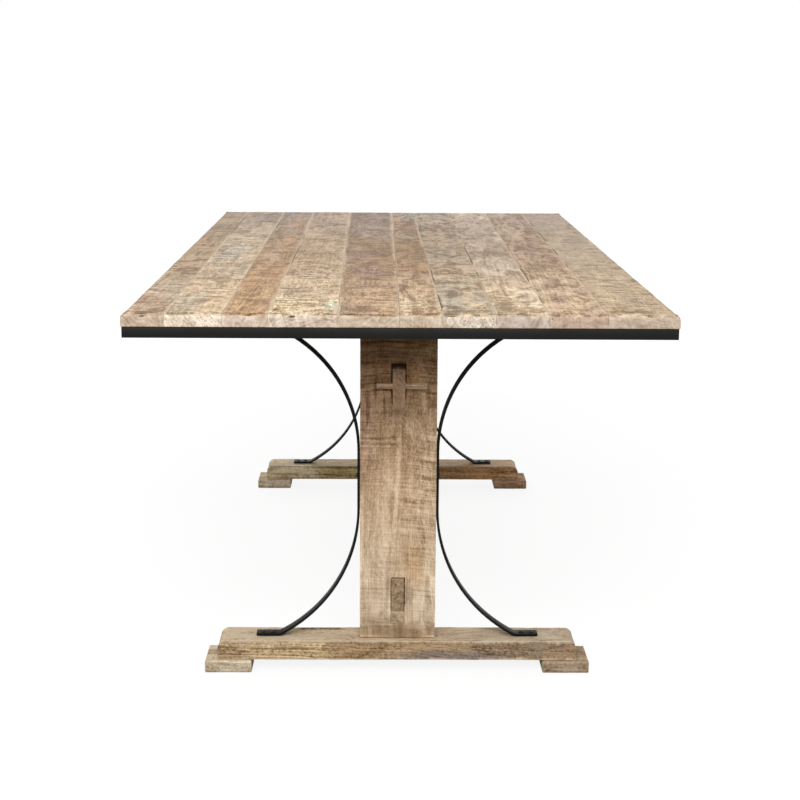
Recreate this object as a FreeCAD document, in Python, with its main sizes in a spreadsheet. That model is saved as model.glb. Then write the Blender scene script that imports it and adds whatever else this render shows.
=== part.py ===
import FreeCAD, Part
import math
import os
import re

import Sketcher

# Trestle dining table, in millimetres.
# The origin is on the floor under the middle of the top. X runs across the table, Y along it
# and Z up. The front end faces -Y.
#
# Ten boards lie on a welded angle-iron frame. Each trestle is an upright leg with a stub tenon
# in a foot beam below and in a head beam above, a curved flat-iron brace on each side of the
# leg, and a block under each end of the foot beam. Two stretchers tie the trestles together:
# the upper one runs through both legs and is locked by a loose tapered key outside each leg,
# and the lower one ends flush in the legs and is held by a wedge underneath.

DIMENSIONS = [
    # Top
    ("table_height", 765, "floor to the top of the boards"),
    ("top_length", 2000, "length of the boards"),
    ("top_width", 1000, "width over all ten boards"),
    ("plank_thickness", 26, "thickness of a board"),
    ("plank_gap", 1, "gap between two boards"),
    ("corner_round", 12, "rounding of the top's four corners in plan"),
    ("top_edge_round", 6, "rounding of the top's upper outer edge"),
    ("bottom_edge_round", 4, "rounding of the top's lower outer edge"),
    # Joints between the boards, measured from the middle of the top at each end
    ("seam_front_1", -421, "front end of the first joint"),
    ("seam_front_2", -318, ""),
    ("seam_front_3", -236, ""),
    ("seam_front_4", -113, ""),
    ("seam_front_5", -2, ""),
    ("seam_front_6", 75, ""),
    ("seam_front_7", 170, ""),
    ("seam_front_8", 265, ""),
    ("seam_front_9", 370, "front end of the last joint"),
    ("seam_back_1", -429, "back end of the first joint"),
    ("seam_back_2", -320, ""),
    ("seam_back_3", -233, ""),
    ("seam_back_4", -127, ""),
    ("seam_back_5", -3, ""),
    ("seam_back_6", 62, ""),
    ("seam_back_7", 163, ""),
    ("seam_back_8", 273, ""),
    ("seam_back_9", 383, "back end of the last joint"),
    # Steel frame
    ("frame_inset", 3, "edge of the boards to the outside of the frame"),
    ("frame_height", 20, "upright flange of the angle iron"),
    ("flange_width", 30, "level flange of the angle iron"),
    ("steel_thickness", 3, "thickness of the angle iron"),
    ("crossbar_spacing", 360, "distance between two crossbars"),
    ("side_row_near", 200, "middle of the table to the nearer side screws"),
    ("side_row_far", 600, "middle of the table to the farther side screws"),
    # Legs
    ("trestle_offset", 722, "middle of the table to the middle of a trestle"),
    ("leg_width", 152, "width of a leg"),
    ("leg_thickness", 45, "thickness of a leg"),
    ("leg_edge_round", 1.5, "rounding of a leg's upright edges"),
    ("stub_width", 100, "width of the stub tenons"),
    ("stub_thickness", 16, "thickness of the stub tenons"),
    ("stub_depth", 28, "length of the stub tenons"),
    ("stub_play", 0.6, "how much larger a stub's mortise is than the stub"),
    # Foot and head beams
    ("beam_length", 722, "length of a beam"),
    ("beam_depth", 84, "depth of a beam, along the table"),
    ("beam_height", 41, "height of a beam"),
    ("beam_end_round", 18, "rounding of a beam's ends on the leg's side"),
    ("beam_edge_round", 4, "rounding of a beam's long edges on the leg's side"),
    ("beam_base_round", 2.5, "rounding of a beam's edges on the far side"),
    ("lag_row_inner", 150, "middle of the head beam to its inner lag screws"),
    ("lag_row_outer", 332, "middle of the head beam to its outer lag screws"),
    ("lag_sink_depth", 14, "depth of the counterbores for the lag screws"),
    # Foot blocks
    ("block_length", 94.5, "length of a block, across the table"),
    ("block_depth", 96, "depth of a block, along the table"),
    ("block_height", 25, "height of a block"),
    ("block_reach", 386, "middle of the trestle to a block's outer end"),
    ("block_round", 3, "rounding of a block's edges"),
    ("block_screw_row", 28, "middle of a block to a screw"),
    ("block_sink_size", 12, "diameter of the counterbores in a block"),
    ("block_sink_depth", 7, "depth of the counterbores in a block"),
    # Braces
    ("brace_thickness", 5, "thickness of the flat iron"),
    ("brace_width", 25, "width of the flat iron"),
    ("brace_bend", 237, "middle of the leg to a brace's bends"),
    ("brace_tip", 284, "middle of the leg to a brace's ends"),
    ("brace_low", 330, "height where the lower bow leaves the leg"),
    ("brace_high", 449, "height where the upper bow leaves the leg"),
    ("brace_screw_height", 398, "height of the screw into the leg"),
    ("tab_screw_inner", 252, "middle of the leg to a tab's inner screw"),
    ("tab_screw_outer", 272, "middle of the leg to a tab's outer screw"),
    # Upper stretcher and its keys
    ("board_thickness", 36, "thickness of both stretchers"),
    ("upper_board_height", 100, "height of the upper stretcher"),
    ("tenon_middle", 586.5, "height of the middle of the upper stretcher"),
    ("tenon_height", 78, "height of its tenons"),
    ("tenon_thickness", 24.5, "thickness of its tenons"),
    ("tenon_proud", 52, "how far its tenons stand out of the legs"),
    ("tenon_round", 9, "rounding of the tenons' lower edges"),
    ("mortise_play", 2, "how much larger a mortise is than its tenon"),
    ("key_bottom", 580.5, "height of a key's underside"),
    ("key_height", 9.5, "height of a key"),
    ("key_thin_reach", 43.5, "middle of the leg to a key's thin end"),
    ("key_thick_reach", 55.5, "middle of the leg to a key's thick end"),
    ("key_thin", 14, "depth of a key at its thin end"),
    ("key_thick", 20, "depth of a key at its thick end"),
    ("key_play", 0.1, "clearance of a key on each side"),
    ("key_draw", 3, "how far a key's slot reaches into the leg"),
    ("key_end_round", 1, "rounding of a key's upright edges"),
    # Lower stretcher and its wedges
    ("lower_board_height", 88, "height of the lower stretcher"),
    ("lower_tenon_bottom", 121.5, "height of the underside of its tenons"),
    ("lower_tenon_top", 190.5, "height of the top of its tenons"),
    ("lower_tenon_thickness", 26, "thickness of its tenons"),
    ("lower_tenon_set_back", 1, "how far its tenons end behind the leg's face"),
    ("lower_mortise_bottom", 95, "height of the mortise's floor"),
    ("lower_mortise_top", 191.5, "height of the mortise's ceiling"),
    ("wedge_fall", 4, "how much a wedge thins towards its inner end"),
    ("wedge_pin_rise", 5.5, "mortise's floor to the pin in the wedge"),
    # Fasteners
    ("screw_size", 4.6, "diameter of the wood screws"),
    ("screw_play", 0.4, "how much larger a screw's hole is than the screw"),
    ("hole_spare", 2, "how much deeper a blind hole is than what goes into it"),
    ("screw_head", 9, "diameter of a round head"),
    ("screw_head_height", 3, "height of a round head"),
    ("top_screw_length", 19, "length of the screws into the boards"),
    ("brace_screw_length", 27, "length of the screws through the braces"),
    ("block_screw_length", 42, "length of the screws through the blocks"),
    ("bolt_size", 8, "diameter of the lag screws"),
    ("bolt_head", 13, "width across the flats of a lag screw's head"),
    ("bolt_head_height", 4, "height of a lag screw's head with its washer"),
    ("washer_size", 15.6, "diameter of a lag screw's washer"),
    ("washer_height", 1, "thickness of a lag screw's washer"),
    ("bolt_sink_size", 18, "diameter of the counterbores for the lag screws"),
    ("bolt_sink_depth", 5, "depth of the counterbores over the stub tenons"),
    ("bolt_row", 32, "middle of the leg to a lag screw in its end"),
    ("leg_bolt_length", 85, "length of the lag screws into the leg's ends"),
    ("head_bolt_length", 43, "length of the lag screws into the boards"),
    ("pin_size", 2.4, "diameter of a wedge's pin"),
    ("pin_length", 20, "length of a wedge's pin"),
]

ALIASES = {alias for alias, value, meaning in DIMENSIONS}
PLANK_COUNT = 10
# Width of a screw's blunt point as a share of its shank, and of its slot as a share of its head.
POINT_SHARE = 0.2
SLOT_SHARE = 0.125
HEAD_SIDES = 6
UP = FreeCAD.Vector(0, 0, 1)
DOWN = FreeCAD.Vector(0, 0, -1)

# Heights and places that follow from the driving dimensions.
UNDERSIDE = "(table_height - plank_thickness)"
FRAME_BOTTOM = f"({UNDERSIDE} - frame_height)"
FOOT_TOP = "(block_height + beam_height)"
HEAD_BOTTOM = f"({UNDERSIDE} - beam_height)"
LEG_FRONT = "(trestle_offset + leg_thickness / 2)"
LEG_BACK = "(trestle_offset - leg_thickness / 2)"
BLOCK_MIDDLE = "(block_reach - block_length / 2)"
SCREW_HOLE = "(screw_size + screw_play)"
BOLT_HOLE = "(bolt_size + screw_play)"
FLANGE_MIDDLE = "((flange_width + steel_thickness) / 2)"
END_ROW = f"(top_length / 2 - frame_inset - {FLANGE_MIDDLE})"

doc = FreeCAD.newDocument("TrestleTable")
sheet = doc.addObject("Spreadsheet::Sheet", "Dimensions")
for row, (alias, value, meaning) in enumerate(DIMENSIONS, start=1):
    sheet.set(f"A{row}", alias)
    sheet.set(f"B{row}", str(value))
    sheet.setAlias(f"B{row}", alias)
    sheet.set(f"C{row}", meaning)
doc.recompute()


# ---------------------------------------------------------------- helpers


def formula(text):
    """Expression in which every driving dimension is read from the sheet."""
    return re.sub(r"[a-z][a-z0-9_]*", lambda word: cell(word.group()), text)


def cell(word):
    return f"Dimensions.{word}" if word in ALIASES else word


def size(alias):
    """Value of one driving dimension, for shapes that are set directly."""
    return float(sheet.get(alias))


def new_body(label):
    body = doc.addObject("PartDesign::Body", label)
    body.Label = label
    return body


def new_sketch(body, name, plane="XY_Plane", lift="0"):
    """Sketch on one of the body's own planes, lifted along the plane's normal."""
    sketch = body.newObject("Sketcher::SketchObject", f"{body.Label}_{name}")
    support = next(item for item in body.Origin.OriginFeatures if item.Role == plane)
    sketch.AttachmentSupport = (support, [""])
    sketch.MapMode = "FlatFace"
    sketch.setExpression("AttachmentOffset.Base.z", formula(lift))
    return sketch


def bind_point(sketch, geometry, point, across, along):
    """Hold a point of the sketch at two expressions, measured from the sketch's origin."""
    drawn = sketch.getPoint(geometry, point)
    for kind, text, value in (("DistanceX", across, drawn.x), ("DistanceY", along, drawn.y)):
        index = sketch.addConstraint(Sketcher.Constraint(kind, -1, 1, geometry, point, value))
        sketch.setExpression(f"Constraints[{index}]", formula(text))


def add_outline(sketch, corners):
    """Closed outline of straight sides, from its corners in turn."""
    count = len(corners)
    start = [FreeCAD.Vector(10 * index, 10 * index * index, 0) for index in range(count)]
    for index in range(count):
        sketch.addGeometry(Part.LineSegment(start[index], start[(index + 1) % count]))
    for index in range(count):
        sketch.addConstraint(Sketcher.Constraint("Coincident", index, 2, (index + 1) % count, 1))
    for index, (across, along) in enumerate(corners):
        bind_point(sketch, index, 1, across, along)


def add_rectangle(sketch, left, right, bottom, top):
    add_outline(sketch, [(left, bottom), (right, bottom), (right, top), (left, top)])


def add_centred_rectangle(sketch, width, height):
    add_rectangle(sketch, f"-({width}) / 2", f"({width}) / 2", f"-({height}) / 2", f"({height}) / 2")


def add_circles(sketch, centres, diameter):
    for across, along in centres:
        circle = Part.Circle(FreeCAD.Vector(0, 0, 0), UP, 1)
        geometry = sketch.addGeometry(circle)
        bind_point(sketch, geometry, 3, across, along)
        index = sketch.addConstraint(Sketcher.Constraint("Diameter", geometry, 2.0))
        sketch.setExpression(f"Constraints[{index}]", formula(diameter))


def add_pad(body, sketch, length, both_ways=False):
    pad = body.newObject("PartDesign::Pad", f"{sketch.Name}_pad")
    pad.Profile = sketch
    pad.SideType = "Symmetric" if both_ways else "One side"
    pad.setExpression("Length", formula(length))
    return pad


def add_pocket(body, sketch, depth=None, reverse=False):
    """Cut against the sketch's normal, or along it if reversed, or right through."""
    pocket = body.newObject("PartDesign::Pocket", f"{sketch.Name}_pocket")
    pocket.Profile = sketch
    pocket.Reversed = reverse
    if depth is None:
        pocket.SideType = "Symmetric"
        pocket.Type = "ThroughAll"
    else:
        pocket.setExpression("Length", formula(depth))
    return pocket


def drill(body, name, centres, diameter, depth=None, plane="XY_Plane", lift="0", reverse=False):
    """Round holes at the given centres. Returns their sketch."""
    sketch = new_sketch(body, name, plane, lift)
    add_circles(sketch, centres, diameter)
    add_pocket(body, sketch, depth, reverse)
    return sketch


def round_edges(body, name, radius, wanted):
    """Round every edge of the body for which wanted(edge) holds."""
    doc.recompute()
    base = body.Tip
    chosen = [f"Edge{index}" for index, edge in enumerate(base.Shape.Edges, 1) if wanted(edge)]
    fillet = body.newObject("PartDesign::Fillet", f"{body.Label}_{name}")
    fillet.Base = (base, chosen)
    fillet.setExpression("Radius", formula(radius))


def along(edge, axis):
    """Whether a straight edge runs along the X, Y or Z axis (0, 1 or 2)."""
    box = edge.BoundBox
    spans = [box.XLength, box.YLength, box.ZLength]
    return spans[axis] > 1 and sum(spans) - spans[axis] < 0.01


def level(edge, height):
    """Whether an edge lies level at the given local height."""
    return abs(edge.BoundBox.ZMin - height) < 0.01 and abs(edge.BoundBox.ZMax - height) < 0.01


def place(body, across="0", lengthwise="0", height="0", turn=0, upside_down=False):
    """Put a body in the table, turned about Z by some degrees, after any turn about Y."""
    rotation = FreeCAD.Rotation(UP, turn)
    if upside_down:
        rotation = rotation.multiply(FreeCAD.Rotation(FreeCAD.Vector(0, 1, 0), 180))
    body.Placement = FreeCAD.Placement(FreeCAD.Vector(0, 0, 0), rotation)
    for axis, text in (("x", across), ("y", lengthwise), ("z", height)):
        body.setExpression(f"Placement.Base.{axis}", formula(text))


# ---------------------------------------------------------------- top


def seam(number, end):
    """Place across the top of a joint between boards, or of the top's outer edge."""
    if number == 0:
        return "-top_width / 2"
    if number == PLANK_COUNT:
        return "top_width / 2"
    return f"seam_{end}_{number}"


def plank_middle(number, lengthwise):
    """Place across the top of the middle of a board, at a distance along the table."""
    front = f"({seam(number - 1, 'front')} + {seam(number, 'front')}) / 2"
    back = f"({seam(number - 1, 'back')} + {seam(number, 'back')}) / 2"
    share = f"(0.5 + ({lengthwise}) / top_length)"
    return f"({front} * (1 - {share}) + {back} * {share})"


CROSS_ROWS = ["-crossbar_spacing", "0", "crossbar_spacing"]
SCREW_ROWS = [f"-{END_ROW}"] + CROSS_ROWS + [END_ROW]
SIDE_ROWS = ["-side_row_far", "-side_row_near", "side_row_near", "side_row_far"]
SIDE_SCREW_LINE = f"(top_width / 2 - frame_inset - {FLANGE_MIDDLE})"
# Boards that the head beams' lag screws enter, and where they enter them.
LAG_ROWS = {2: "-lag_row_outer", 4: "-lag_row_inner", 7: "lag_row_inner", 9: "lag_row_outer"}


def make_plank(number):
    body = new_body(f"top_plank_{number:02d}")
    left_gap = "0" if number == 1 else "plank_gap / 2"
    right_gap = "0" if number == PLANK_COUNT else "plank_gap / 2"
    outline = new_sketch(body, "outline")
    add_outline(outline, [
        (f"{seam(number - 1, 'front')} + {left_gap}", "-top_length / 2"),
        (f"{seam(number, 'front')} - {right_gap}", "-top_length / 2"),
        (f"{seam(number, 'back')} - {right_gap}", "top_length / 2"),
        (f"{seam(number - 1, 'back')} + {left_gap}", "top_length / 2"),
    ])
    add_pad(body, outline, "plank_thickness")

    half_width = size("top_width") / 2
    half_length = size("top_length") / 2

    def at_outer_side(edge):
        return abs(abs(edge.CenterOfMass.x) - half_width) < 0.01

    def at_end(edge):
        return abs(abs(edge.CenterOfMass.y) - half_length) < 0.01

    if number in (1, PLANK_COUNT):
        round_edges(body, "corners", "corner_round",
                    lambda edge: along(edge, 2) and at_outer_side(edge))

    def outer_at(height):
        return lambda edge: level(edge, height) and (at_outer_side(edge) or at_end(edge))

    round_edges(body, "upper_edges", "top_edge_round", outer_at(size("plank_thickness")))
    round_edges(body, "lower_edges", "bottom_edge_round", outer_at(0))

    centres = [(plank_middle(number, lengthwise), lengthwise) for lengthwise in SCREW_ROWS]
    if number == 1:
        centres += [(f"-{SIDE_SCREW_LINE}", lengthwise) for lengthwise in SIDE_ROWS]
    if number == PLANK_COUNT:
        centres += [(SIDE_SCREW_LINE, lengthwise) for lengthwise in SIDE_ROWS]
    pilots = drill(body, "pilots", centres, SCREW_HOLE,
                   depth="top_screw_length", reverse=True)
    if number in LAG_ROWS:
        lag_centres = [(LAG_ROWS[number], f"{sign}trestle_offset") for sign in ("-", "")]
        drill(body, "lag_pilots", lag_centres, BOLT_HOLE,
              depth="head_bolt_length - beam_height + lag_sink_depth + hole_spare", reverse=True)
    place(body, height=UNDERSIDE)
    return body, pilots


def make_angle(label, length, screw_places, mitred):
    """Angle iron along Y. Its upright flange's outside is at X = 0, its level flange on top."""
    body = new_body(label)
    profile = new_sketch(body, "profile", "XZ_Plane")
    add_outline(profile, [
        ("0", "0"),
        ("steel_thickness", "0"),
        ("steel_thickness", "frame_height - steel_thickness"),
        ("flange_width", "frame_height - steel_thickness"),
        ("flange_width", "frame_height"),
        ("0", "frame_height"),
    ])
    add_pad(body, profile, length, both_ways=True)
    if mitred:
        for name, sign in (("front_mitre", "-"), ("back_mitre", "")):
            mitre = new_sketch(body, name)
            add_outline(mitre, [
                ("0", f"{sign}({length}) / 2"),
                ("flange_width", f"{sign}(({length}) / 2 - flange_width)"),
                ("flange_width", f"{sign}({length}) / 2"),
            ])
            add_pocket(body, mitre)
    centres = [(FLANGE_MIDDLE, lengthwise) for lengthwise in screw_places]
    drill(body, "screw_holes", centres, SCREW_HOLE)
    return body


def make_frame():
    """Four mitred lengths round the edge and three crossbars between their flanges."""
    side = "(top_width / 2 - frame_inset)"
    end = "(top_length / 2 - frame_inset)"
    numbers = range(1, PLANK_COUNT + 1)

    left = make_angle("frame_rail_left", f"2 * {end}", SIDE_ROWS, True)
    place(left, across=f"-{side}", height=FRAME_BOTTOM)
    right = make_angle("frame_rail_right", f"2 * {end}", SIDE_ROWS, True)
    place(right, across=side, height=FRAME_BOTTOM, turn=180)

    front_places = [f"-{plank_middle(number, '-' + END_ROW)}" for number in numbers]
    front = make_angle("frame_end_front", f"2 * {side}", front_places, True)
    place(front, lengthwise=f"-{end}", height=FRAME_BOTTOM, turn=90)
    back_places = [plank_middle(number, END_ROW) for number in numbers]
    back = make_angle("frame_end_back", f"2 * {side}", back_places, True)
    place(back, lengthwise=end, height=FRAME_BOTTOM, turn=-90)

    bars = []
    for name, lengthwise in zip(("front", "middle", "back"), CROSS_ROWS):
        places = [f"-{plank_middle(number, lengthwise)}" for number in numbers]
        bar = make_angle(f"crossbar_{name}", f"2 * ({side} - flange_width)", places, False)
        place(bar, lengthwise=f"{lengthwise} - {FLANGE_MIDDLE}", height=FRAME_BOTTOM, turn=90)
        bars.append(bar)
    return [left, right, front, back] + bars


# ---------------------------------------------------------------- trestles


def make_leg(label):
    """Upright board with a stub tenon at each end and two mortises through it."""
    body = new_body(label)
    board = new_sketch(body, "board", lift=FOOT_TOP)
    add_centred_rectangle(board, "leg_width", "leg_thickness")
    add_pad(body, board, f"{HEAD_BOTTOM} - {FOOT_TOP}")
    round_edges(body, "edges", "leg_edge_round", lambda edge: along(edge, 2))

    stub = new_sketch(body, "stubs", lift=f"{FOOT_TOP} - stub_depth")
    add_centred_rectangle(stub, "stub_width", "stub_thickness")
    add_pad(body, stub, f"{HEAD_BOTTOM} - {FOOT_TOP} + 2 * stub_depth")

    upper = new_sketch(body, "upper_mortise", "XZ_Plane")
    add_rectangle(
        upper,
        "-(tenon_thickness + mortise_play) / 2",
        "(tenon_thickness + mortise_play) / 2",
        "tenon_middle - (tenon_height + mortise_play) / 2",
        "tenon_middle + (tenon_height + mortise_play) / 2",
    )
    add_pocket(body, upper)
    lower = new_sketch(body, "lower_mortise", "XZ_Plane")
    add_rectangle(
        lower,
        "-(lower_tenon_thickness + mortise_play) / 2",
        "(lower_tenon_thickness + mortise_play) / 2",
        "lower_mortise_bottom",
        "lower_mortise_top",
    )
    add_pocket(body, lower)

    bolts = both_sides("bolt_row")
    depth = "leg_bolt_length - (beam_height - bolt_sink_depth - stub_depth) + hole_spare"
    drill(body, "foot_bolt_holes", bolts, BOLT_HOLE, depth,
          lift=f"{FOOT_TOP} - stub_depth", reverse=True)
    drill(body, "head_bolt_holes", bolts, BOLT_HOLE, depth,
          lift=f"{HEAD_BOTTOM} + stub_depth")
    screw = [("0", "brace_screw_height")]
    drill(body, "right_brace_hole", screw, SCREW_HOLE, "brace_screw_length",
          plane="YZ_Plane", lift="leg_width / 2")
    drill(body, "left_brace_hole", screw, SCREW_HOLE, "brace_screw_length",
          plane="YZ_Plane", lift="-leg_width / 2", reverse=True)
    return body


def make_beam(label):
    """Beam across the table, with its far side at Z = 0 and the leg's side on top."""
    body = new_body(label)
    profile = new_sketch(body, "profile", "XZ_Plane")
    add_rectangle(profile, "-beam_length / 2", "beam_length / 2", "0", "beam_height")
    add_pad(body, profile, "beam_depth", both_ways=True)
    height = size("beam_height")
    round_edges(body, "ends", "beam_end_round",
                lambda edge: along(edge, 1) and level(edge, height))
    round_edges(body, "long_edges", "beam_edge_round",
                lambda edge: along(edge, 0) and level(edge, height))
    round_edges(body, "base_edges", "beam_base_round", lambda edge: level(edge, 0))

    mortise = new_sketch(body, "mortise", lift="beam_height")
    add_centred_rectangle(mortise, "stub_width + stub_play", "stub_thickness + stub_play")
    add_pocket(body, mortise, "stub_depth + stub_play / 2")
    bolts = both_sides("bolt_row")
    drill(body, "bolt_holes", bolts, BOLT_HOLE, "beam_height", reverse=True)
    drill(body, "bolt_sinks", bolts, "bolt_sink_size", "bolt_sink_depth", reverse=True)

    tabs = both_sides("tab_screw_inner", "tab_screw_outer")
    drill(body, "tab_holes", tabs, SCREW_HOLE, "brace_screw_length", lift="beam_height")
    return body


def both_sides(*rows):
    """Centres of holes on the X axis, at each distance to the left and to the right."""
    return [(f"{sign}{row}", "0") for sign in ("-", "") for row in rows]


def make_foot_beam(label):
    body = make_beam(label)
    pilots = [
        (f"{across}{BLOCK_MIDDLE}", f"{lengthwise}block_screw_row")
        for across in ("-", "") for lengthwise in ("-", "")
    ]
    drill(body, "block_pilots", pilots, SCREW_HOLE,
          "block_screw_length - block_height + block_sink_depth + hole_spare", reverse=True)
    return body


def make_head_beam(label):
    body = make_beam(label)
    lags = both_sides("lag_row_inner", "lag_row_outer")
    drill(body, "lag_holes", lags, BOLT_HOLE)
    drill(body, "lag_sinks", lags, "bolt_sink_size", "lag_sink_depth", lift="beam_height")
    return body


def make_foot_block(label):
    """Block under one end of a foot beam, with two counterbored screw holes."""
    body = new_body(label)
    outline = new_sketch(body, "outline")
    add_centred_rectangle(outline, "block_length", "block_depth")
    add_pad(body, outline, "block_height")
    round_edges(body, "edges", "block_round", lambda edge: True)
    screws = [("0", "-block_screw_row"), ("0", "block_screw_row")]
    drill(body, "screw_holes", screws, SCREW_HOLE)
    drill(body, "screw_sinks", screws, "block_sink_size", "block_sink_depth", reverse=True)
    return body


def bow(start, beam_face, inward):
    """Centre of one bow of a brace, and where its two faces meet those of its tab.

    The bow leaves the leg upright at the height start. The middle of its thickness meets the
    middle of the tab's at the bend. The first end is on the beam's face, where inward is 1 if
    the brace lies above that face and -1 if it lies below.
    """
    thickness = size("brace_thickness")
    middle = -(size("leg_width") + thickness) / 2
    run = middle + size("brace_bend")
    rise = abs(start - beam_face) - thickness / 2
    radius = (run * run + rise * rise) / (2 * run)
    centre = FreeCAD.Vector(middle - radius, start, 0)
    ends = []
    for reach, height in (
        (radius + thickness / 2, beam_face),
        (radius - thickness / 2, beam_face + inward * thickness),
    ):
        across = centre.x + (reach ** 2 - (start - height) ** 2) ** 0.5
        ends.append(FreeCAD.Vector(across, height, 0))
    return centre, ends


def bow_arc(centre, end):
    """Arc about a bow's centre, between the leg and its end at the tab."""
    circle = Part.Circle(centre, UP, (end - centre).Length)
    angle = circle.parameter(end)
    if angle < math.pi:
        return Part.ArcOfCircle(circle, 0, angle)
    return Part.ArcOfCircle(circle, angle, 2 * math.pi)


def add_brace_outline(sketch):
    """Flat iron on edge: tab, bow, straight length along the leg, bow and tab."""
    leg_side = -size("leg_width") / 2
    free_side = leg_side - size("brace_thickness")
    tip = -size("brace_tip")
    low = size("brace_low")
    high = size("brace_high")
    foot_top = size("block_height") + size("beam_height")
    head_bottom = size("table_height") - size("plank_thickness") - size("beam_height")
    low_centre, (low_near, low_far) = bow(low, foot_top, 1)
    high_centre, (high_near, high_far) = bow(high, head_bottom, -1)

    def line(*ends):
        return Part.LineSegment(*(FreeCAD.Vector(across, height, 0) for across, height in ends))

    outline = [
        line((tip, low_near.y), (low_near.x, low_near.y)),
        bow_arc(low_centre, low_near),
        line((leg_side, low), (leg_side, high)),
        bow_arc(high_centre, high_near),
        line((high_near.x, high_near.y), (tip, high_near.y)),
        line((tip, high_near.y), (tip, high_far.y)),
        line((tip, high_far.y), (high_far.x, high_far.y)),
        bow_arc(high_centre, high_far),
        line((free_side, high), (free_side, low)),
        bow_arc(low_centre, low_far),
        line((low_far.x, low_far.y), (tip, low_far.y)),
        line((tip, low_far.y), (tip, low_near.y)),
    ]
    for geometry in outline:
        sketch.addGeometry(geometry)
    constrain_brace(sketch)


def constrain_brace(sketch):
    """Tie the brace's lines and arcs together and bind them to the sheet.

    Geometry in turn from the lower tab's tip: 0 tab, 1 bow, 2 leg side, 3 bow, 4 tab, 5 tip,
    6 tab, 7 bow, 8 free side, 9 bow, 10 tab, 11 tip. Point 1 is a start, 2 an end, 3 a centre.
    """
    joints = [
        (0, 2, 1, 1), (1, 2, 2, 1), (2, 2, 3, 1), (3, 2, 4, 1), (4, 2, 5, 1), (5, 2, 6, 1),
        (6, 2, 7, 2), (7, 1, 8, 1), (8, 2, 9, 2), (9, 1, 10, 1), (10, 2, 11, 1), (11, 2, 0, 1),
    ]
    for first, first_point, second, second_point in joints:
        sketch.addConstraint(
            Sketcher.Constraint("Coincident", first, first_point, second, second_point))
    for geometry in (0, 4, 6, 10):
        sketch.addConstraint(Sketcher.Constraint("Horizontal", geometry))
    sketch.addConstraint(Sketcher.Constraint("Coincident", 1, 3, 9, 3))
    sketch.addConstraint(Sketcher.Constraint("Coincident", 3, 3, 7, 3))

    leg_side = "-leg_width / 2"
    free_side = "-leg_width / 2 - brace_thickness"
    bind_point(sketch, 2, 1, leg_side, "brace_low")
    bind_point(sketch, 2, 2, leg_side, "brace_high")
    bind_point(sketch, 8, 1, free_side, "brace_high")
    bind_point(sketch, 8, 2, free_side, "brace_low")
    bind_point(sketch, 11, 2, "-brace_tip", FOOT_TOP)
    bind_point(sketch, 11, 1, "-brace_tip", f"{FOOT_TOP} + brace_thickness")
    bind_point(sketch, 5, 1, "-brace_tip", HEAD_BOTTOM)
    bind_point(sketch, 5, 2, "-brace_tip", f"{HEAD_BOTTOM} - brace_thickness")

    run = "(brace_bend - leg_width / 2 - brace_thickness / 2)"
    low_rise = f"(brace_low - {FOOT_TOP} - brace_thickness / 2)"
    high_rise = f"({HEAD_BOTTOM} - brace_thickness / 2 - brace_high)"
    for geometry, rise, start in ((1, low_rise, "brace_low"), (3, high_rise, "brace_high")):
        radius = f"(({run} * {run} + {rise} * {rise}) / (2 * {run}))"
        bind_point(sketch, geometry, 3,
                   f"-leg_width / 2 - brace_thickness / 2 - {radius}", start)


def make_brace(label):
    """Curved flat iron for the left side of a leg."""
    body = new_body(label)
    outline = new_sketch(body, "outline", "XZ_Plane")
    add_brace_outline(outline)
    add_pad(body, outline, "brace_width", both_ways=True)
    tab_screws = [("-tab_screw_inner", "0"), ("-tab_screw_outer", "0")]
    drill(body, "tab_holes", tab_screws, SCREW_HOLE)
    drill(body, "leg_hole", [("0", "brace_screw_height")], SCREW_HOLE, plane="YZ_Plane")
    return body


def make_key(label):
    """Tapered key across the front of a leg. It draws out towards its thick end."""
    body = new_body(label)
    outline = new_sketch(body, "outline", lift="key_bottom")
    back = "(-leg_thickness / 2 - key_play)"
    add_outline(outline, [
        ("-key_thin_reach", back),
        ("-key_thin_reach", f"{back} - key_thin"),
        ("key_thick_reach", f"{back} - key_thick"),
        ("key_thick_reach", back),
    ])
    add_pad(body, outline, "key_height")
    round_edges(body, "ends", "key_end_round", lambda edge: along(edge, 2))
    return body


def make_lower_wedge(label):
    """Wedge between the lower mortise's floor and the tenon, thinner towards the inside."""
    body = new_body(label)
    outline = new_sketch(body, "outline", "YZ_Plane")
    front = "-leg_thickness / 2"
    back = "leg_thickness / 2"
    add_outline(outline, [
        (front, "lower_mortise_bottom"),
        (back, "lower_mortise_bottom"),
        (back, "lower_tenon_bottom - wedge_fall"),
        (front, "lower_tenon_bottom"),
    ])
    add_pad(body, outline, "lower_tenon_thickness", both_ways=True)
    drill(body, "pin_hole", [("0", "lower_mortise_bottom + wedge_pin_rise")],
          "pin_size + screw_play", "pin_length + hole_spare",
          plane="XZ_Plane", lift="leg_thickness / 2")
    return body


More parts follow.
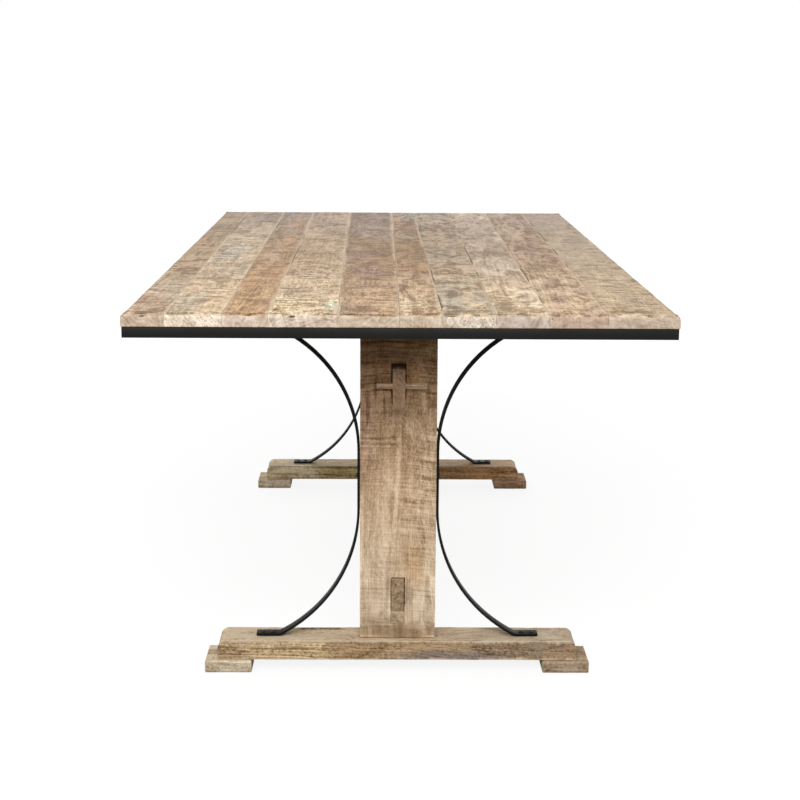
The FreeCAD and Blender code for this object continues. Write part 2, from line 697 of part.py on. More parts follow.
def make_upper_stretcher():
    """Board between the legs with a keyed tenon through each of them."""
    body = new_body("upper_stretcher")
    board = new_sketch(body, "board", "XZ_Plane")
    add_rectangle(board, "-board_thickness / 2", "board_thickness / 2",
                  "tenon_middle - upper_board_height / 2", "tenon_middle + upper_board_height / 2")
    add_pad(body, board, f"2 * {LEG_BACK}", both_ways=True)
    tenon = new_sketch(body, "tenons", "XZ_Plane")
    add_rectangle(tenon, "-tenon_thickness / 2", "tenon_thickness / 2",
                  "tenon_middle - tenon_height / 2", "tenon_middle + tenon_height / 2")
    add_pad(body, tenon, f"2 * ({LEG_FRONT} + tenon_proud)", both_ways=True)
    tenon_bottom = size("tenon_middle") - size("tenon_height") / 2
    round_edges(body, "noses", "tenon_round",
                lambda edge: along(edge, 1) and level(edge, tenon_bottom))

    half_slot = "((tenon_thickness + mortise_play) / 2)"
    inner = f"({LEG_FRONT} - key_draw)"
    outer = f"({LEG_FRONT} + 2 * key_play + key_thin)"
    taper = "((key_thick - key_thin) / (key_thin_reach + key_thick_reach))"
    thin_side = f"({outer} + {taper} * (key_thin_reach - {half_slot}))"
    thick_side = f"({outer} + {taper} * (key_thin_reach + {half_slot}))"
    for name, sign, other in (("front_slot", "-", ""), ("back_slot", "", "-")):
        slot = new_sketch(body, name, lift="key_bottom - key_play")
        add_outline(slot, [
            (f"{sign}{half_slot}", f"{sign}{inner}"),
            (f"{sign}{half_slot}", f"{sign}{thin_side}"),
            (f"{other}{half_slot}", f"{sign}{thick_side}"),
            (f"{other}{half_slot}", f"{sign}{inner}"),
        ])
        add_pocket(body, slot, "key_height + 2 * key_play", reverse=True)
    return body


def make_lower_stretcher():
    """Board between the legs with a tenon that ends just behind the face of each of them."""
    body = new_body("lower_stretcher")
    middle = "((lower_tenon_bottom + lower_tenon_top) / 2)"
    board = new_sketch(body, "board", "XZ_Plane")
    add_rectangle(board, "-board_thickness / 2", "board_thickness / 2",
                  f"{middle} - lower_board_height / 2", f"{middle} + lower_board_height / 2")
    add_pad(body, board, f"2 * {LEG_BACK}", both_ways=True)
    tenon = new_sketch(body, "tenons", "XZ_Plane")
    add_rectangle(tenon, "-lower_tenon_thickness / 2", "lower_tenon_thickness / 2",
                  "lower_tenon_bottom", "lower_tenon_top")
    add_pad(body, tenon, f"2 * ({LEG_FRONT} - lower_tenon_set_back)", both_ways=True)
    return body


# ---------------------------------------------------------------- fasteners


def pointed_shank(diameter, length):
    """Solids of a screw's shank and point, along Z from Z = 0."""
    radius = diameter / 2
    neck = length - diameter
    shank = Part.makeCylinder(radius, neck)
    point = Part.makeCone(radius, radius * POINT_SHARE, diameter, UP * neck)
    return [shank, point]


def round_head_screw(length):
    """Wood screw along Z with a domed, slotted head. The head's underside is at Z = 0."""
    radius = size("screw_head") / 2
    height = size("screw_head_height")
    ball_radius = (radius ** 2 + height ** 2) / (2 * height)
    ball = Part.makeSphere(ball_radius, UP * (ball_radius - height))
    cap = Part.makeCylinder(radius, height, DOWN * height)
    slot_width = size("screw_head") * SLOT_SHARE
    slot = Part.makeBox(2 * radius, slot_width, height / 2,
                        FreeCAD.Vector(-radius, -slot_width / 2, -height))
    head = ball.common(cap)
    return head.fuse(pointed_shank(size("screw_size"), length)).cut(slot)


def lag_screw(length):
    """Lag screw along Z with a six-sided head and a washer. The washer's face is at Z = 0."""
    washer_height = size("washer_height")
    washer = Part.makeCylinder(size("washer_size") / 2, washer_height, DOWN * washer_height)
    corner_radius = size("bolt_head") / 2 / math.cos(math.pi / HEAD_SIDES)
    corner = FreeCAD.Vector(corner_radius, 0, -washer_height)
    turns = [FreeCAD.Rotation(UP, 360 / HEAD_SIDES * step) for step in range(HEAD_SIDES + 1)]
    outline = Part.makePolygon([turn.multVec(corner) for turn in turns])
    head = Part.Face(outline).extrude(DOWN * (size("bolt_head_height") - washer_height))
    return washer.fuse([head] + pointed_shank(size("bolt_size"), length))


def driven(screw, position, direction):
    """Copy of a screw at a position, with its point in the given direction."""
    turn = FreeCAD.Rotation(UP, direction)
    return screw.transformed(FreeCAD.Placement(position, turn).toMatrix())


def fastener_group(label, solids):
    group = doc.addObject("Part::Feature", label)
    group.Label = label
    group.Shape = Part.makeCompound(solids)
    return group


def trestle_place(end):
    """Placement that carries a shape from a trestle's own frame into the table."""
    offset = size("trestle_offset")
    if end == "front":
        return FreeCAD.Placement(FreeCAD.Vector(0, -offset, 0), FreeCAD.Rotation(UP, 0))
    return FreeCAD.Placement(FreeCAD.Vector(0, offset, 0), FreeCAD.Rotation(UP, 180))


def make_top_screws(planks):
    """Screws up through the frame into the boards, one in each of the boards' pilot holes."""
    screw = round_head_screw(size("top_screw_length"))
    below = DOWN * size("steel_thickness")
    solids = []
    for body, pilots in planks:
        whole = body.Placement.multiply(pilots.Placement)
        for circle in pilots.Geometry:
            solids.append(driven(screw, whole.multVec(circle.Center) + below, UP))
    return fastener_group("top_screws", solids)


def make_trestle_fasteners(end):
    """Brace screws, lag screws and block screws of one trestle."""
    where = trestle_place(end).toMatrix()
    foot_top = size("block_height") + size("beam_height")
    underside = size("table_height") - size("plank_thickness")
    head_bottom = underside - size("beam_height")
    thickness = size("brace_thickness")

    brace_screw = round_head_screw(size("brace_screw_length"))
    brace_solids = []
    bolt_solids = []
    head_solids = []
    block_solids = []
    leg_bolt = lag_screw(size("leg_bolt_length"))
    head_bolt = lag_screw(size("head_bolt_length"))
    block_screw = round_head_screw(size("block_screw_length"))
    block_middle = size("block_reach") - size("block_length") / 2

    for sign in (-1, 1):
        for row in ("tab_screw_inner", "tab_screw_outer"):
            low = FreeCAD.Vector(sign * size(row), 0, foot_top + thickness)
            high = FreeCAD.Vector(sign * size(row), 0, head_bottom - thickness)
            brace_solids.append(driven(brace_screw, low, DOWN))
            brace_solids.append(driven(brace_screw, high, UP))
        side = FreeCAD.Vector(sign * (size("leg_width") / 2 + thickness), 0,
                              size("brace_screw_height"))
        brace_solids.append(driven(brace_screw, side, FreeCAD.Vector(-sign, 0, 0)))

        from_below = FreeCAD.Vector(sign * size("bolt_row"), 0,
                                    size("block_height") + size("bolt_sink_depth"))
        from_above = FreeCAD.Vector(sign * size("bolt_row"), 0,
                                    underside - size("bolt_sink_depth"))
        bolt_solids.append(driven(leg_bolt, from_below, UP))
        bolt_solids.append(driven(leg_bolt, from_above, DOWN))

        for row in ("lag_row_inner", "lag_row_outer"):
            lag = FreeCAD.Vector(sign * size(row), 0, head_bottom + size("lag_sink_depth"))
            head_solids.append(driven(head_bolt, lag, UP))

        for depth_sign in (-1, 1):
            spot = FreeCAD.Vector(sign * block_middle, depth_sign * size("block_screw_row"),
                                  size("block_sink_depth"))
            block_solids.append(driven(block_screw, spot, UP))

    groups = (
        ("brace_screws", brace_solids),
        ("leg_bolts", bolt_solids),
        ("head_screws", head_solids),
        ("block_screws", block_solids),
    )
    return [
        fastener_group(f"{name}_{end}", [solid.transformed(where) for solid in solids])
        for name, solids in groups
    ]


def make_wedge_pins():
    """A small round pin through each lower wedge."""
    height = size("lower_mortise_bottom") + size("wedge_pin_rise")
    pin = Part.makeCylinder(size("pin_size") / 2, size("pin_length"),
                            FreeCAD.Vector(0, -size("leg_thickness") / 2, height),
                            FreeCAD.Vector(0, 1, 0))
    solids = [pin.transformed(trestle_place(end).toMatrix()) for end in ("front", "back")]
    return fastener_group("wedge_pins", solids)


# ---------------------------------------------------------------- assembly


def make_trestle(end):
    """All pieces of one trestle except its fasteners. The back one is turned about Z."""
    lengthwise = "-trestle_offset" if end == "front" else "trestle_offset"
    turn = 0 if end == "front" else 180

    leg = make_leg(f"leg_{end}")
    place(leg, lengthwise=lengthwise, turn=turn)
    foot = make_foot_beam(f"foot_beam_{end}")
    place(foot, lengthwise=lengthwise, height="block_height", turn=turn)
    head = make_head_beam(f"head_beam_{end}")
    place(head, lengthwise=lengthwise, height=UNDERSIDE, turn=turn, upside_down=True)
    key = make_key(f"key_{end}")
    place(key, lengthwise=lengthwise, turn=turn)
    wedge = make_lower_wedge(f"lower_wedge_{end}")
    place(wedge, lengthwise=lengthwise, turn=turn)
    pieces = [leg, foot, head, key, wedge]

    for side, sign, side_turn in (("left", "-", 0), ("right", "", 180)):
        block = make_foot_block(f"foot_block_{end}_{side}")
        place(block, across=f"{sign}{BLOCK_MIDDLE}", lengthwise=lengthwise)
        brace = make_brace(f"brace_{end}_{side}")
        place(brace, lengthwise=lengthwise, turn=side_turn)
        pieces += [block, brace]
    return pieces


def check(pieces):
    """Stop if any object failed, any shape is bad, or any pocket cut nothing."""
    for item in doc.Objects:
        if "Invalid" in item.State or "Error" in item.State:
            raise RuntimeError(f"{item.Name} failed: {item.State}")
        if item.TypeId == "PartDesign::Pocket":
            removed = item.BaseFeature.Shape.Volume - item.Shape.Volume
            if removed < 1:
                raise RuntimeError(f"{item.Name} cuts nothing")
    for piece in pieces:
        if piece.Shape.isNull() or not piece.Shape.isValid():
            raise RuntimeError(f"{piece.Label} has no valid shape")
        if piece.TypeId == "PartDesign::Body" and len(piece.Shape.Solids) != 1:
            raise RuntimeError(f"{piece.Label} is not one solid")


def main():
    planks = [make_plank(number) for number in range(1, PLANK_COUNT + 1)]
    pieces = [body for body, pilots in planks]
    pieces += make_frame()
    for end in ("front", "back"):
        pieces += make_trestle(end)
    pieces += [make_upper_stretcher(), make_lower_stretcher()]
    doc.recompute()

    pieces.append(make_top_screws(planks))
    for end in ("front", "back"):
        pieces += make_trestle_fasteners(end)
    pieces.append(make_wedge_pins())
    doc.recompute()

    check(pieces)
    os.makedirs("parts", exist_ok=True)
    for piece in pieces:
        piece.Shape.exportStep(f"parts/{piece.Label}.step")
    print(f"{len(pieces)} pieces written")


main()
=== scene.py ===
"""Trestle dining table of rough-sawn boards on a black iron frame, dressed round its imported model.

All sizes are in metres. X runs across the table, Y along it and Z up, and the front end faces -Y.
"""

from __future__ import annotations

import logging
import math
from collections.abc import Callable, Mapping, Sequence
from dataclasses import dataclass, replace
from enum import Enum

import bmesh
import bpy
import numpy as np
from mathutils import Matrix, Vector

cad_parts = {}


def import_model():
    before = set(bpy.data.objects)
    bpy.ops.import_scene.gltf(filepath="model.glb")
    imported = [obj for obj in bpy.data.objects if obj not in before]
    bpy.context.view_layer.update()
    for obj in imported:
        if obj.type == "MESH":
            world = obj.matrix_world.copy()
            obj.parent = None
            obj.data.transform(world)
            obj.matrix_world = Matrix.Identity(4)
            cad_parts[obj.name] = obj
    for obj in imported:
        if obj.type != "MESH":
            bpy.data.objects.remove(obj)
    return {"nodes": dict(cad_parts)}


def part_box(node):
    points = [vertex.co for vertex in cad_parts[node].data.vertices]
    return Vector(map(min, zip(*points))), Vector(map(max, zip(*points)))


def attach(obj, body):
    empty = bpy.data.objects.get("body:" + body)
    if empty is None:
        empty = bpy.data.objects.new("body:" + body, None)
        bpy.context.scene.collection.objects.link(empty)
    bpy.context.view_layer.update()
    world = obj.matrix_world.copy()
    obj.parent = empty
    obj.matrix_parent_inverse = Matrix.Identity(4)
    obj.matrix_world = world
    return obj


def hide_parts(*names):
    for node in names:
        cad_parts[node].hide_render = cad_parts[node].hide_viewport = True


LOG = logging.getLogger("trestle_table")

Triple = tuple[float, float, float]
Colour = Triple
Tone = tuple[int, int, int]
Socket = bpy.types.NodeSocket
Value = float | tuple | Socket
PointTest = Callable[[Vector], bool]
PlaceTest = Callable[[Vector, Vector], bool]

X_AXIS = Vector((1.0, 0.0, 0.0))
Y_AXIS = Vector((0.0, 1.0, 0.0))
Z_AXIS = Vector((0.0, 0.0, 1.0))
MERGED = 1e-6
SAME = 1e-5
CLOSE = 1e-4
PARALLEL = 0.9
LEAST_WEIGHT = 0.001
SMOOTH_DEGREES = 35.0


class Grain(Enum):
    """Axis that the grain of a piece of timber follows."""

    ACROSS = 0
    LENGTHWISE = 1
    UPRIGHT = 2


class Named(Enum):
    """Choice whose word is part of the names of nodes and pieces."""

    @property
    def word(self) -> str:
        """The choice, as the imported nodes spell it."""
        return self.name.lower()


class End(Named):
    """The two trestles, by their side of the table."""

    FRONT = -1
    BACK = 1


class Side(Named):
    """The two sides of the table."""

    LEFT = -1
    RIGHT = 1


def paint(tone: Tone) -> Colour:
    """Turn a screen colour into the linear one that shaders use.

    Args:
        tone: Red, green and blue from 0 to 255.

    Returns:
        The three linear channels.
    """
    red, green, blue = (
        share / 12.92 if share <= 0.04045 else ((share + 0.055) / 1.055) ** 2.4
        for share in (channel / 255 for channel in tone)
    )
    return red, green, blue


# ---- shader graphs


NOISE_SPREAD = 5.0


@dataclass(frozen=True)
class Pattern:
    """Cloudy noise: its cells in a metre along each axis, its finer layers and its stirring."""

    density: Triple
    detail: float = 2.0
    roughness: float = 0.5
    shift: float = 0.0
    swirl: float = 0.0


class Graph:
    """Node tree of one material or world, built a node at a time."""

    def __init__(self, owner: bpy.types.Material | bpy.types.World) -> None:
        """Empty the node tree of a new material or world.

        Args:
            owner: The material or world.
        """
        owner.use_nodes = True
        self.owner = owner
        self.tree = owner.node_tree
        self.tree.nodes.clear()

    def node(self, kind: str, inputs: Mapping[str | int, Value] | None = None,
             **settings: object) -> bpy.types.Node:
        """Add a node.

        Args:
            kind: Blender's name of the node type.
            inputs: Constants or sockets for its inputs, by name or number.
            **settings: Properties of the node.

        Returns:
            The new node.
        """
        made = self.tree.nodes.new(kind)
        for key, value in settings.items():
            setattr(made, key, value)
        for key, value in (inputs or {}).items():
            if isinstance(value, bpy.types.NodeSocket):
                self.tree.links.new(value, made.inputs[key])
            elif made.inputs[key].type == "RGBA":
                made.inputs[key].default_value = (*value, 1.0)
            else:
                made.inputs[key].default_value = value
        return made

    def math(self, operation: str, *values: Value) -> Socket:
        """Combine numbers with one of the Math node's operations."""
        return self.node("ShaderNodeMath", dict(enumerate(values)), operation=operation).outputs[0]

    def read(self, name: str) -> Socket:
        """Point of the surface (Object) or its direction (Normal), in the table's own frame."""
        return self.node("ShaderNodeTexCoord").outputs[name]

    def attribute(self, name: str) -> Socket:
        """Number that the mesh holds at each point under a name."""
        return self.node("ShaderNodeAttribute", attribute_name=name).outputs["Fac"]

    def seen(self) -> Socket:
        """Tell what the camera sees from what only lights the table.

        Returns:
            1 for what is seen directly, in a reflection or through glass, and 0 for the rest.
        """
        path = self.node("ShaderNodeLightPath").outputs
        indirect = self.math("MAXIMUM", path["Is Glossy Ray"], path["Is Transmission Ray"])
        return self.math("MAXIMUM", path["Is Camera Ray"], indirect)

    def parts(self, vector: Socket) -> tuple[Socket, Socket, Socket]:
        """The three components of a vector."""
        made = self.node("ShaderNodeSeparateXYZ", {0: vector})
        return made.outputs[0], made.outputs[1], made.outputs[2]

    def vector(self, across: Value, along: Value, up: Value) -> Socket:
        """Vector made of three numbers."""
        return self.node("ShaderNodeCombineXYZ", {0: across, 1: along, 2: up}).outputs[0]

    def combined(self, operation: str, first: Value, second: Value) -> Socket:
        """Combine vectors with one of the Vector Math node's operations."""
        made = self.node("ShaderNodeVectorMath", {0: first, 1: second}, operation=operation)
        return made.outputs["Value" if operation == "DISTANCE" else "Vector"]

    def noise(self, place: Socket, pattern: Pattern, seed: float = 0.0) -> Socket:
        """Draw a pattern.

        Args:
            place: Coordinates of the surface.
            pattern: The pattern.
            seed: Added to the pattern's own place in the noise.

        Returns:
            The noise, from 0 to 1 round a middle of 0.5.
        """
        shift = seed + pattern.shift
        spread = self.combined("MULTIPLY", place, pattern.density)
        moved = self.combined("ADD", spread, (shift, shift * 0.7, shift * 1.3))
        inputs = {"Vector": moved, "Scale": 1.0, "Detail": pattern.detail,
                  "Roughness": pattern.roughness, "Distortion": pattern.swirl}
        return self.node("ShaderNodeTexNoise", inputs).outputs["Fac"]

    def band(self, value: Value, low: float, high: float, start: float = 0.0,
             end: float = 1.0) -> Socket:
        """Smooth step of a value between two limits.

        Args:
            value: What is measured.
            low: Where the step begins.
            high: Where the step is complete.
            start: Result below the step.
            end: Result above the step.

        Returns:
            The stepped value.
        """
        inputs = {"Value": value, "From Min": low, "From Max": high, "To Min": start, "To Max": end}
        made = self.node("ShaderNodeMapRange", inputs, interpolation_type="SMOOTHSTEP")
        return made.outputs["Result"]

    def swing(self, value: Socket) -> Socket:
        """A noise, spread to about -1 to 1 round its middle."""
        return self.math("MULTIPLY_ADD", value, NOISE_SPREAD, -NOISE_SPREAD / 2)

    def summed(self, parts: Sequence[tuple[Socket, float]], start: float = 0.0) -> Socket:
        """Add values up, each with its weight.

        Args:
            parts: The values and their weights.
            start: What the sum starts from.

        Returns:
            The sum.
        """
        total: Value = start
        for value, weight in parts:
            total = self.math("MULTIPLY_ADD", value, weight, total)
        return total

    def blend(self, factor: Value, first: Value, second: Value, how: str = "MIX") -> Socket:
        """Mix of two colours.

        Args:
            factor: Share of the second colour.
            first: Colour at a share of 0.
            second: Colour at a share of 1.
            how: Blending mode of the Mix node.

        Returns:
            The mixed colour.
        """
        made = self.node("ShaderNodeMix", {0: factor, 6: first, 7: second}, data_type="RGBA",
                         blend_type=how, clamp_factor=True)
        return made.outputs[2]

    def close(self, shader: bpy.types.Node, output: str) -> None:
        """Lead a shader to an output node."""
        self.tree.links.new(shader.outputs[0], self.node(output).inputs["Surface"])

    def surface(self, inputs: dict[str, Value], height: Socket | None = None,
                depth: float = 0.0) -> bpy.types.Material:
        """Close the graph of a material with a Principled shader.

        Args:
            inputs: Constants or sockets for the shader.
            height: Relief of the surface, from 0 to 1.
            depth: Depth of the relief in metres.

        Returns:
            The finished material.
        """
        if height is not None:
            bump = {"Height": height, "Distance": depth, "Strength": 1.0}
            inputs["Normal"] = self.node("ShaderNodeBump", bump).outputs["Normal"]
        self.close(self.node("ShaderNodeBsdfPrincipled", inputs), "ShaderNodeOutputMaterial")
        return self.owner


# ---- finishes


FIBRES = Pattern((420, 8, 420), 2, 0.6)
STREAKS = Pattern((90, 3.5, 90), 3, 0.6, 7, 0.5)
SAWN_COVER = Pattern((14, 7, 14), 3, 0.6, 41)
DRIFT = Pattern((9, 2.6, 9), 3, 0.6, 11, 0.6)
CLOUD = Pattern((27, 9, 27), 4, 0.7, 17, 1.1)
RING_BEND = Pattern((5, 1.1, 5), 2, 0.5, 23)
RING_CURL = Pattern((22, 6, 22), 3, 0.6, 29)
SAW_WOBBLE = Pattern((8, 3, 8), 2, 0.5, 53)
END_SLASHES = Pattern((240, 14, 14), 2, 0.6, 43)
END_PATCHES = Pattern((55, 1, 80), 3, 0.6, 61, 0.8)
END_STROKES = Pattern((130, 1, 90), 2, 0.5, 67, 2.4)
DIRT_DASHES = Pattern((26, 26, 0), 3, 0.6, 47)
METAL_CLOUDS = Pattern((9, 9, 9), 4, 0.6)
METAL_SPECKS = Pattern((420, 420, 420), 2, 0.6)
ORANGE_PEEL = Pattern((150, 150, 150), 2, 0.5)
ZINC_CLOUDS = Pattern((160, 160, 160), 3, 0.6)
ZINC_SCRATCHES = Pattern((900, 900, 120), 2, 0.5)
DULL_SHINE = 0.12


@dataclass(frozen=True)
class Patch:
    """Ragged patch of another tone, placed across and along the grain from a piece's middle."""

    across: float
    along: float
    width: float
    length: float
    strength: float = 0.6
    tone: Tone = (98, 68, 46)
    through: float = 0.0
    thickness: float = math.inf


@dataclass(frozen=True)
class TimberFinish:
    """Rough-sawn, lightly sanded hardwood, with tones from its near end to its far one."""

    tones: tuple[Tone, Tone, Tone] = ((198, 174, 150), (190, 168, 146), (182, 163, 144))
    patch: Tone = (186, 160, 134)
    shaded: Colour = (0.44, 0.38, 0.31)
    bleached: Colour = (1.50, 1.64, 1.82)
    # Tone of pale rubbed wood and of painted highlight on the long arrises.
    rubbed_and_highlight: Tone = (226, 206, 178)
    end: Tone = (214, 194, 172)
    # Tone of dirt and of painted shade in chips, cracks and corners.
    dirt: Tone = (58, 36, 20)
    grain: Grain = Grain.LENGTHWISE
    seed: float = 0.0
    dust: Tone = (236, 220, 192)
    contrast: float = 1.4
    side_contrast: float = 0.55
    saw: float = 0.6
    saw_bias: float = 0.0
    saw_pitch: float = 0.016
    saw_reach: float = 0.10
    mottle: float = 0.45
    figure: float = 0.2
    ring_density: float = 190.0
    curl: float = 0.03
    speckle: float = 0.45
    speck_bias: float = 0.0
    speck_width: float = 0.005
    speck_length: float = 0.020
    nicks: float = 0.95
    streak: float = 0.15
    blotch: float = 0.5
    scrawl: float = 0.0
    end_slant: float = 0.8
    dusting: float = 0.0
    rim: float = 0.5
    rim_width: float = 0.005
    relief_depth: float = 0.0012
    pith: tuple[float, float] = (0.02, -0.06)
    patches: tuple[Patch, ...] = ()

    def material(self, name: str, low: Vector, high: Vector) -> bpy.types.Material:
        """Make the material for a piece."""
        return TimberGraph(name, self, low, high).material()

    def reseeded(self, offset: float) -> TimberFinish:
        """The same finish on another piece of timber, with its patterns moved by an offset."""
        return replace(self, seed=self.seed + offset)


@dataclass(frozen=True)
class BoardFinish(TimberFinish):
    """Timber of the top, sawn and worn more roughly towards the front end."""

    contrast: float = 1.75
    saw_bias: float = -0.3
    speckle: float = 0.3
    speck_bias: float = -0.3
    rim: float = 0.8


class TimberGraph(Graph):
    """Surface of one piece of timber, in coordinates across, along and through its grain."""

    def __init__(self, name: str, finish: TimberFinish, low: Vector, high: Vector) -> None:
        """Lay out the coordinates and draw the noises that several layers share.

        Args:
            name: Name of the material.
            finish: The finish.
            low: Lowest corner of the piece.
            high: Highest corner of the piece.
        """
        super().__init__(bpy.data.materials.new(name))
        self.finish = finish
        axis = finish.grain.value
        self.half_length = (high[axis] - low[axis]) / 2
        middle = tuple((low + high) / 2)
        x, y, z = self.parts(self.combined("SUBTRACT", self.read("Object"), middle))
        if finish.grain is Grain.ACROSS:
            x, y = y, x
        elif finish.grain is Grain.UPRIGHT:
            y, z = z, y
        self.across, self.along, self.through = x, y, z
        self.place = self.vector(x, y, z)
        self.facing = self.parts(self.read("Normal"))

        fine = 1 / finish.speck_width
        self.rings = self._rings()
        self.fibres = self._drawn(FIBRES)
        self.specks = self._drawn(Pattern((fine, 1 / finish.speck_length, fine), 3, 0.75, 3))
        self.drift = self._drawn(DRIFT)
        self.cloud = self._drawn(CLOUD)
        self.bars, self.lines, self.scratches = self._saw_marks()
        self.cover = self.math("MULTIPLY", self.band(self._drawn(SAWN_COVER), 0.38, 0.62, 0.15),
                               self._biased(1.0, finish.saw_bias))

    def material(self) -> bpy.types.Material:
        """Lay the layers of the surface over each other.

        Returns:
            The finished material.
        """
        finish = self.finish
        colour = self._shaded(self._ground(), self._calmed(self._shade()))
        if finish.dusting:
            upward = self.band(self.facing[2], 0.5, 0.95, 0.0, finish.dusting)
            settled = self.math("MULTIPLY", upward, self.band(self.cloud, 0.38, 0.62, 1.6, 0.4))
            colour = self.blend(settled, colour, paint(finish.dust))
        colour = self.blend(self._nicks(), colour, finish.shaded, "MULTIPLY")
        end_facing = self.math("ABSOLUTE", self.facing[finish.grain.value])
        colour = self.blend(self.band(end_facing, 0.6, 0.85), colour, self._end_grain())
        # Pale rubbed wood and painted highlight along the long edges.
        colour = self.blend(self._edge(), colour, paint(finish.rubbed_and_highlight))
        # Dirt and painted shade: chips, cracks, soiled joints, mortise mouths, tenon tops, the key's
        # outline and end arrises.
        colour = self.blend(self._dirt(), colour, paint(finish.dirt))
        height = self.summed((
            (self.fibres, 0.3), (self.lines, 0.9), (self.bars, 1.0), (self.scratches, 0.5),
            (self.specks, 0.3), (self.rings, 0.2),
        ))
        return self.surface({
            "Base Color": colour,
            "Roughness": self.band(self.cloud, 0.3, 0.7, 0.72, 0.86),
            "Specular IOR Level": DULL_SHINE,
        }, height, finish.relief_depth)

    def _drawn(self, pattern: Pattern) -> Socket:
        """A pattern on this piece."""
        return self.noise(self.place, pattern, self.finish.seed)

    def _biased(self, amount: float, bias: float) -> Socket:
        """An amount that grows by a share, the bias, from the middle to the far end."""
        return self.band(self.along, -self.half_length, self.half_length, amount * (1 - bias),
                         amount * (1 + bias))

    def _ground(self) -> Socket:
        """Tones from end to end, with blotches and patches.

        Returns:
            The colour under all marks.
        """
        finish, half = self.finish, self.half_length
        near, middle, far = (paint(tone) for tone in finish.tones)
        colour = self.blend(self.band(self.along, -half, 0.0), near, middle)
        colour = self.blend(self.band(self.along, 0.0, half), colour, far)
        blotched = self.math("MULTIPLY", self.band(self.drift, 0.42, 0.62), finish.blotch)
        colour = self.blend(blotched, colour, paint(finish.patch))
        for patch in finish.patches:
            colour = self.blend(self._patched(patch), colour, paint(patch.tone))
        return colour

    def _patched(self, patch: Patch) -> Socket:
        """Outline a patch raggedly.

        Args:
            patch: The patch.

        Returns:
            Share of its tone at a point.
        """
        density = (0.8 / patch.width, 0.8 / patch.length, 8.0)
        ragged = self._drawn(Pattern(density, 4, 0.7, patch.along * 9, 0.8))
        centre = self.combined("SUBTRACT", self.place, (patch.across, patch.along, patch.through))
        scaled = self.combined("MULTIPLY", centre,
                               (1 / patch.width, 1 / patch.length, 1 / patch.thickness))
        away = self.combined("DISTANCE", scaled, (0.0, 0.0, 0.0))
        edge = self.math("MULTIPLY_ADD", ragged, 3.0, self.math("SUBTRACT", away, 1.5))
        return self.band(edge, 0.3, 1.2, patch.strength, 0.0)

    def _shade(self) -> Socket:
        """Sum of all marks that darken or bleach the timber.

        Returns:
            The shade, below 0 where it is dark.
        """
        finish = self.finish
        sawn = self.summed(((self.bars, 2.9), (self.lines, 3.4), (self.scratches, 2.4)), -4.35)
        return self.summed((
            (self.math("MULTIPLY", sawn, self.cover), finish.saw),
            (self.swing(self.cloud), finish.mottle),
            (self.swing(self.specks), self._biased(finish.speckle, finish.speck_bias)),
            (self.swing(self._drawn(STREAKS)), finish.streak),
            (self.swing(self.fibres), 0.1),
            (self.swing(self.rings), finish.figure),
        ))

    def _calmed(self, value: Socket) -> Socket:
        """Lessen a value on the sides of a lengthwise board.

        Args:
            value: The value.

        Returns:
            The calmed value.
        """
        if self.finish.grain is not Grain.LENGTHWISE:
            return value
        sideways = self.math("ABSOLUTE", self.facing[0])
        return self.math("MULTIPLY", value,
                         self.band(sideways, 0.5, 0.9, 1.0, self.finish.side_contrast))

    def _shaded(self, colour: Value, shade: Socket) -> Socket:
        """Darken a colour where the shade is below 0, and bleach it where it is above.

        Args:
            colour: The colour.
            shade: The shade.

        Returns:
            The shaded colour.
        """
        finish = self.finish
        dark = self.math("MULTIPLY", shade, -finish.contrast)
        light = self.math("MULTIPLY", shade, finish.contrast)
        return self.blend(light, self.blend(dark, colour, finish.shaded, "MULTIPLY"),
                          finish.bleached, "MULTIPLY")

    def _nicks(self) -> Socket:
        """Deepest of the saw marks.

        Returns:
            Share of the shaded tone in them.
        """
        deep = self.math("MAXIMUM", self.band(self.lines, 0.57, 0.66),
                         self.band(self.bars, 0.60, 0.67))
        return self.math("MULTIPLY", self.math("MULTIPLY", deep, self._calmed(self.cover)),
                         self.finish.nicks)

    def _rings(self) -> Socket:
        """Growth rings round a pith that wanders under the board.

        Returns:
            Their pattern.
        """
        finish = self.finish
        sway = self.math("MULTIPLY_ADD", self._drawn(RING_BEND), 0.16, -0.08)
        curled = self.math("MULTIPLY_ADD", self._drawn(RING_CURL), finish.curl, sway)
        aside = self.math("ADD", self.math("SUBTRACT", self.across, finish.pith[0]), curled)
        tilt = self.math("MULTIPLY_ADD", self.along, 0.03, -finish.pith[1])
        deep = self.math("ADD", self.math("ADD", self.through, tilt), curled)
        radius = self.math("SQRT", self.math(
            "ADD", self.math("MULTIPLY", aside, aside), self.math("MULTIPLY", deep, deep)))
        return self.node("ShaderNodeTexNoise", {
            "W": self.math("MULTIPLY_ADD", radius, finish.ring_density, finish.seed),
            "Scale": 1.0,
            "Detail": 3.0,
            "Roughness": 0.7,
        }, noise_dimensions="1D").outputs["Fac"]

    def _saw_marks(self) -> tuple[Socket, Socket, Socket]:
        """Slightly curved and slanted marks across the grain.

        Returns:
            Broad bars, lines and fine scratches.
        """
        finish = self.finish
        curve = self.math("MULTIPLY", self.math("MULTIPLY", self.across, self.across), 0.6)
        slant = self.math("MULTIPLY_ADD", self.across, 0.05, curve)
        wavy = self.math("MULTIPLY_ADD", self._drawn(SAW_WOBBLE), finish.saw_pitch * 2.5, slant)
        sawn = self.vector(self.across, self.math("ADD", self.along, wavy), self.through)
        pitch, reach = 1 / finish.saw_pitch, 1 / finish.saw_reach
        bars, lines, scratches = (self.noise(sawn, pattern, finish.seed) for pattern in (
            Pattern((0.9 * reach, pitch / 3, 9), 4, 0.7, 37, 0.2),
            Pattern((1.2 * reach, pitch, 12), 3, 0.7, 31, 0.2),
            Pattern((3.0 * reach, pitch * 2.4, 30), 2, 0.6, 35),
        ))
        return bars, lines, scratches

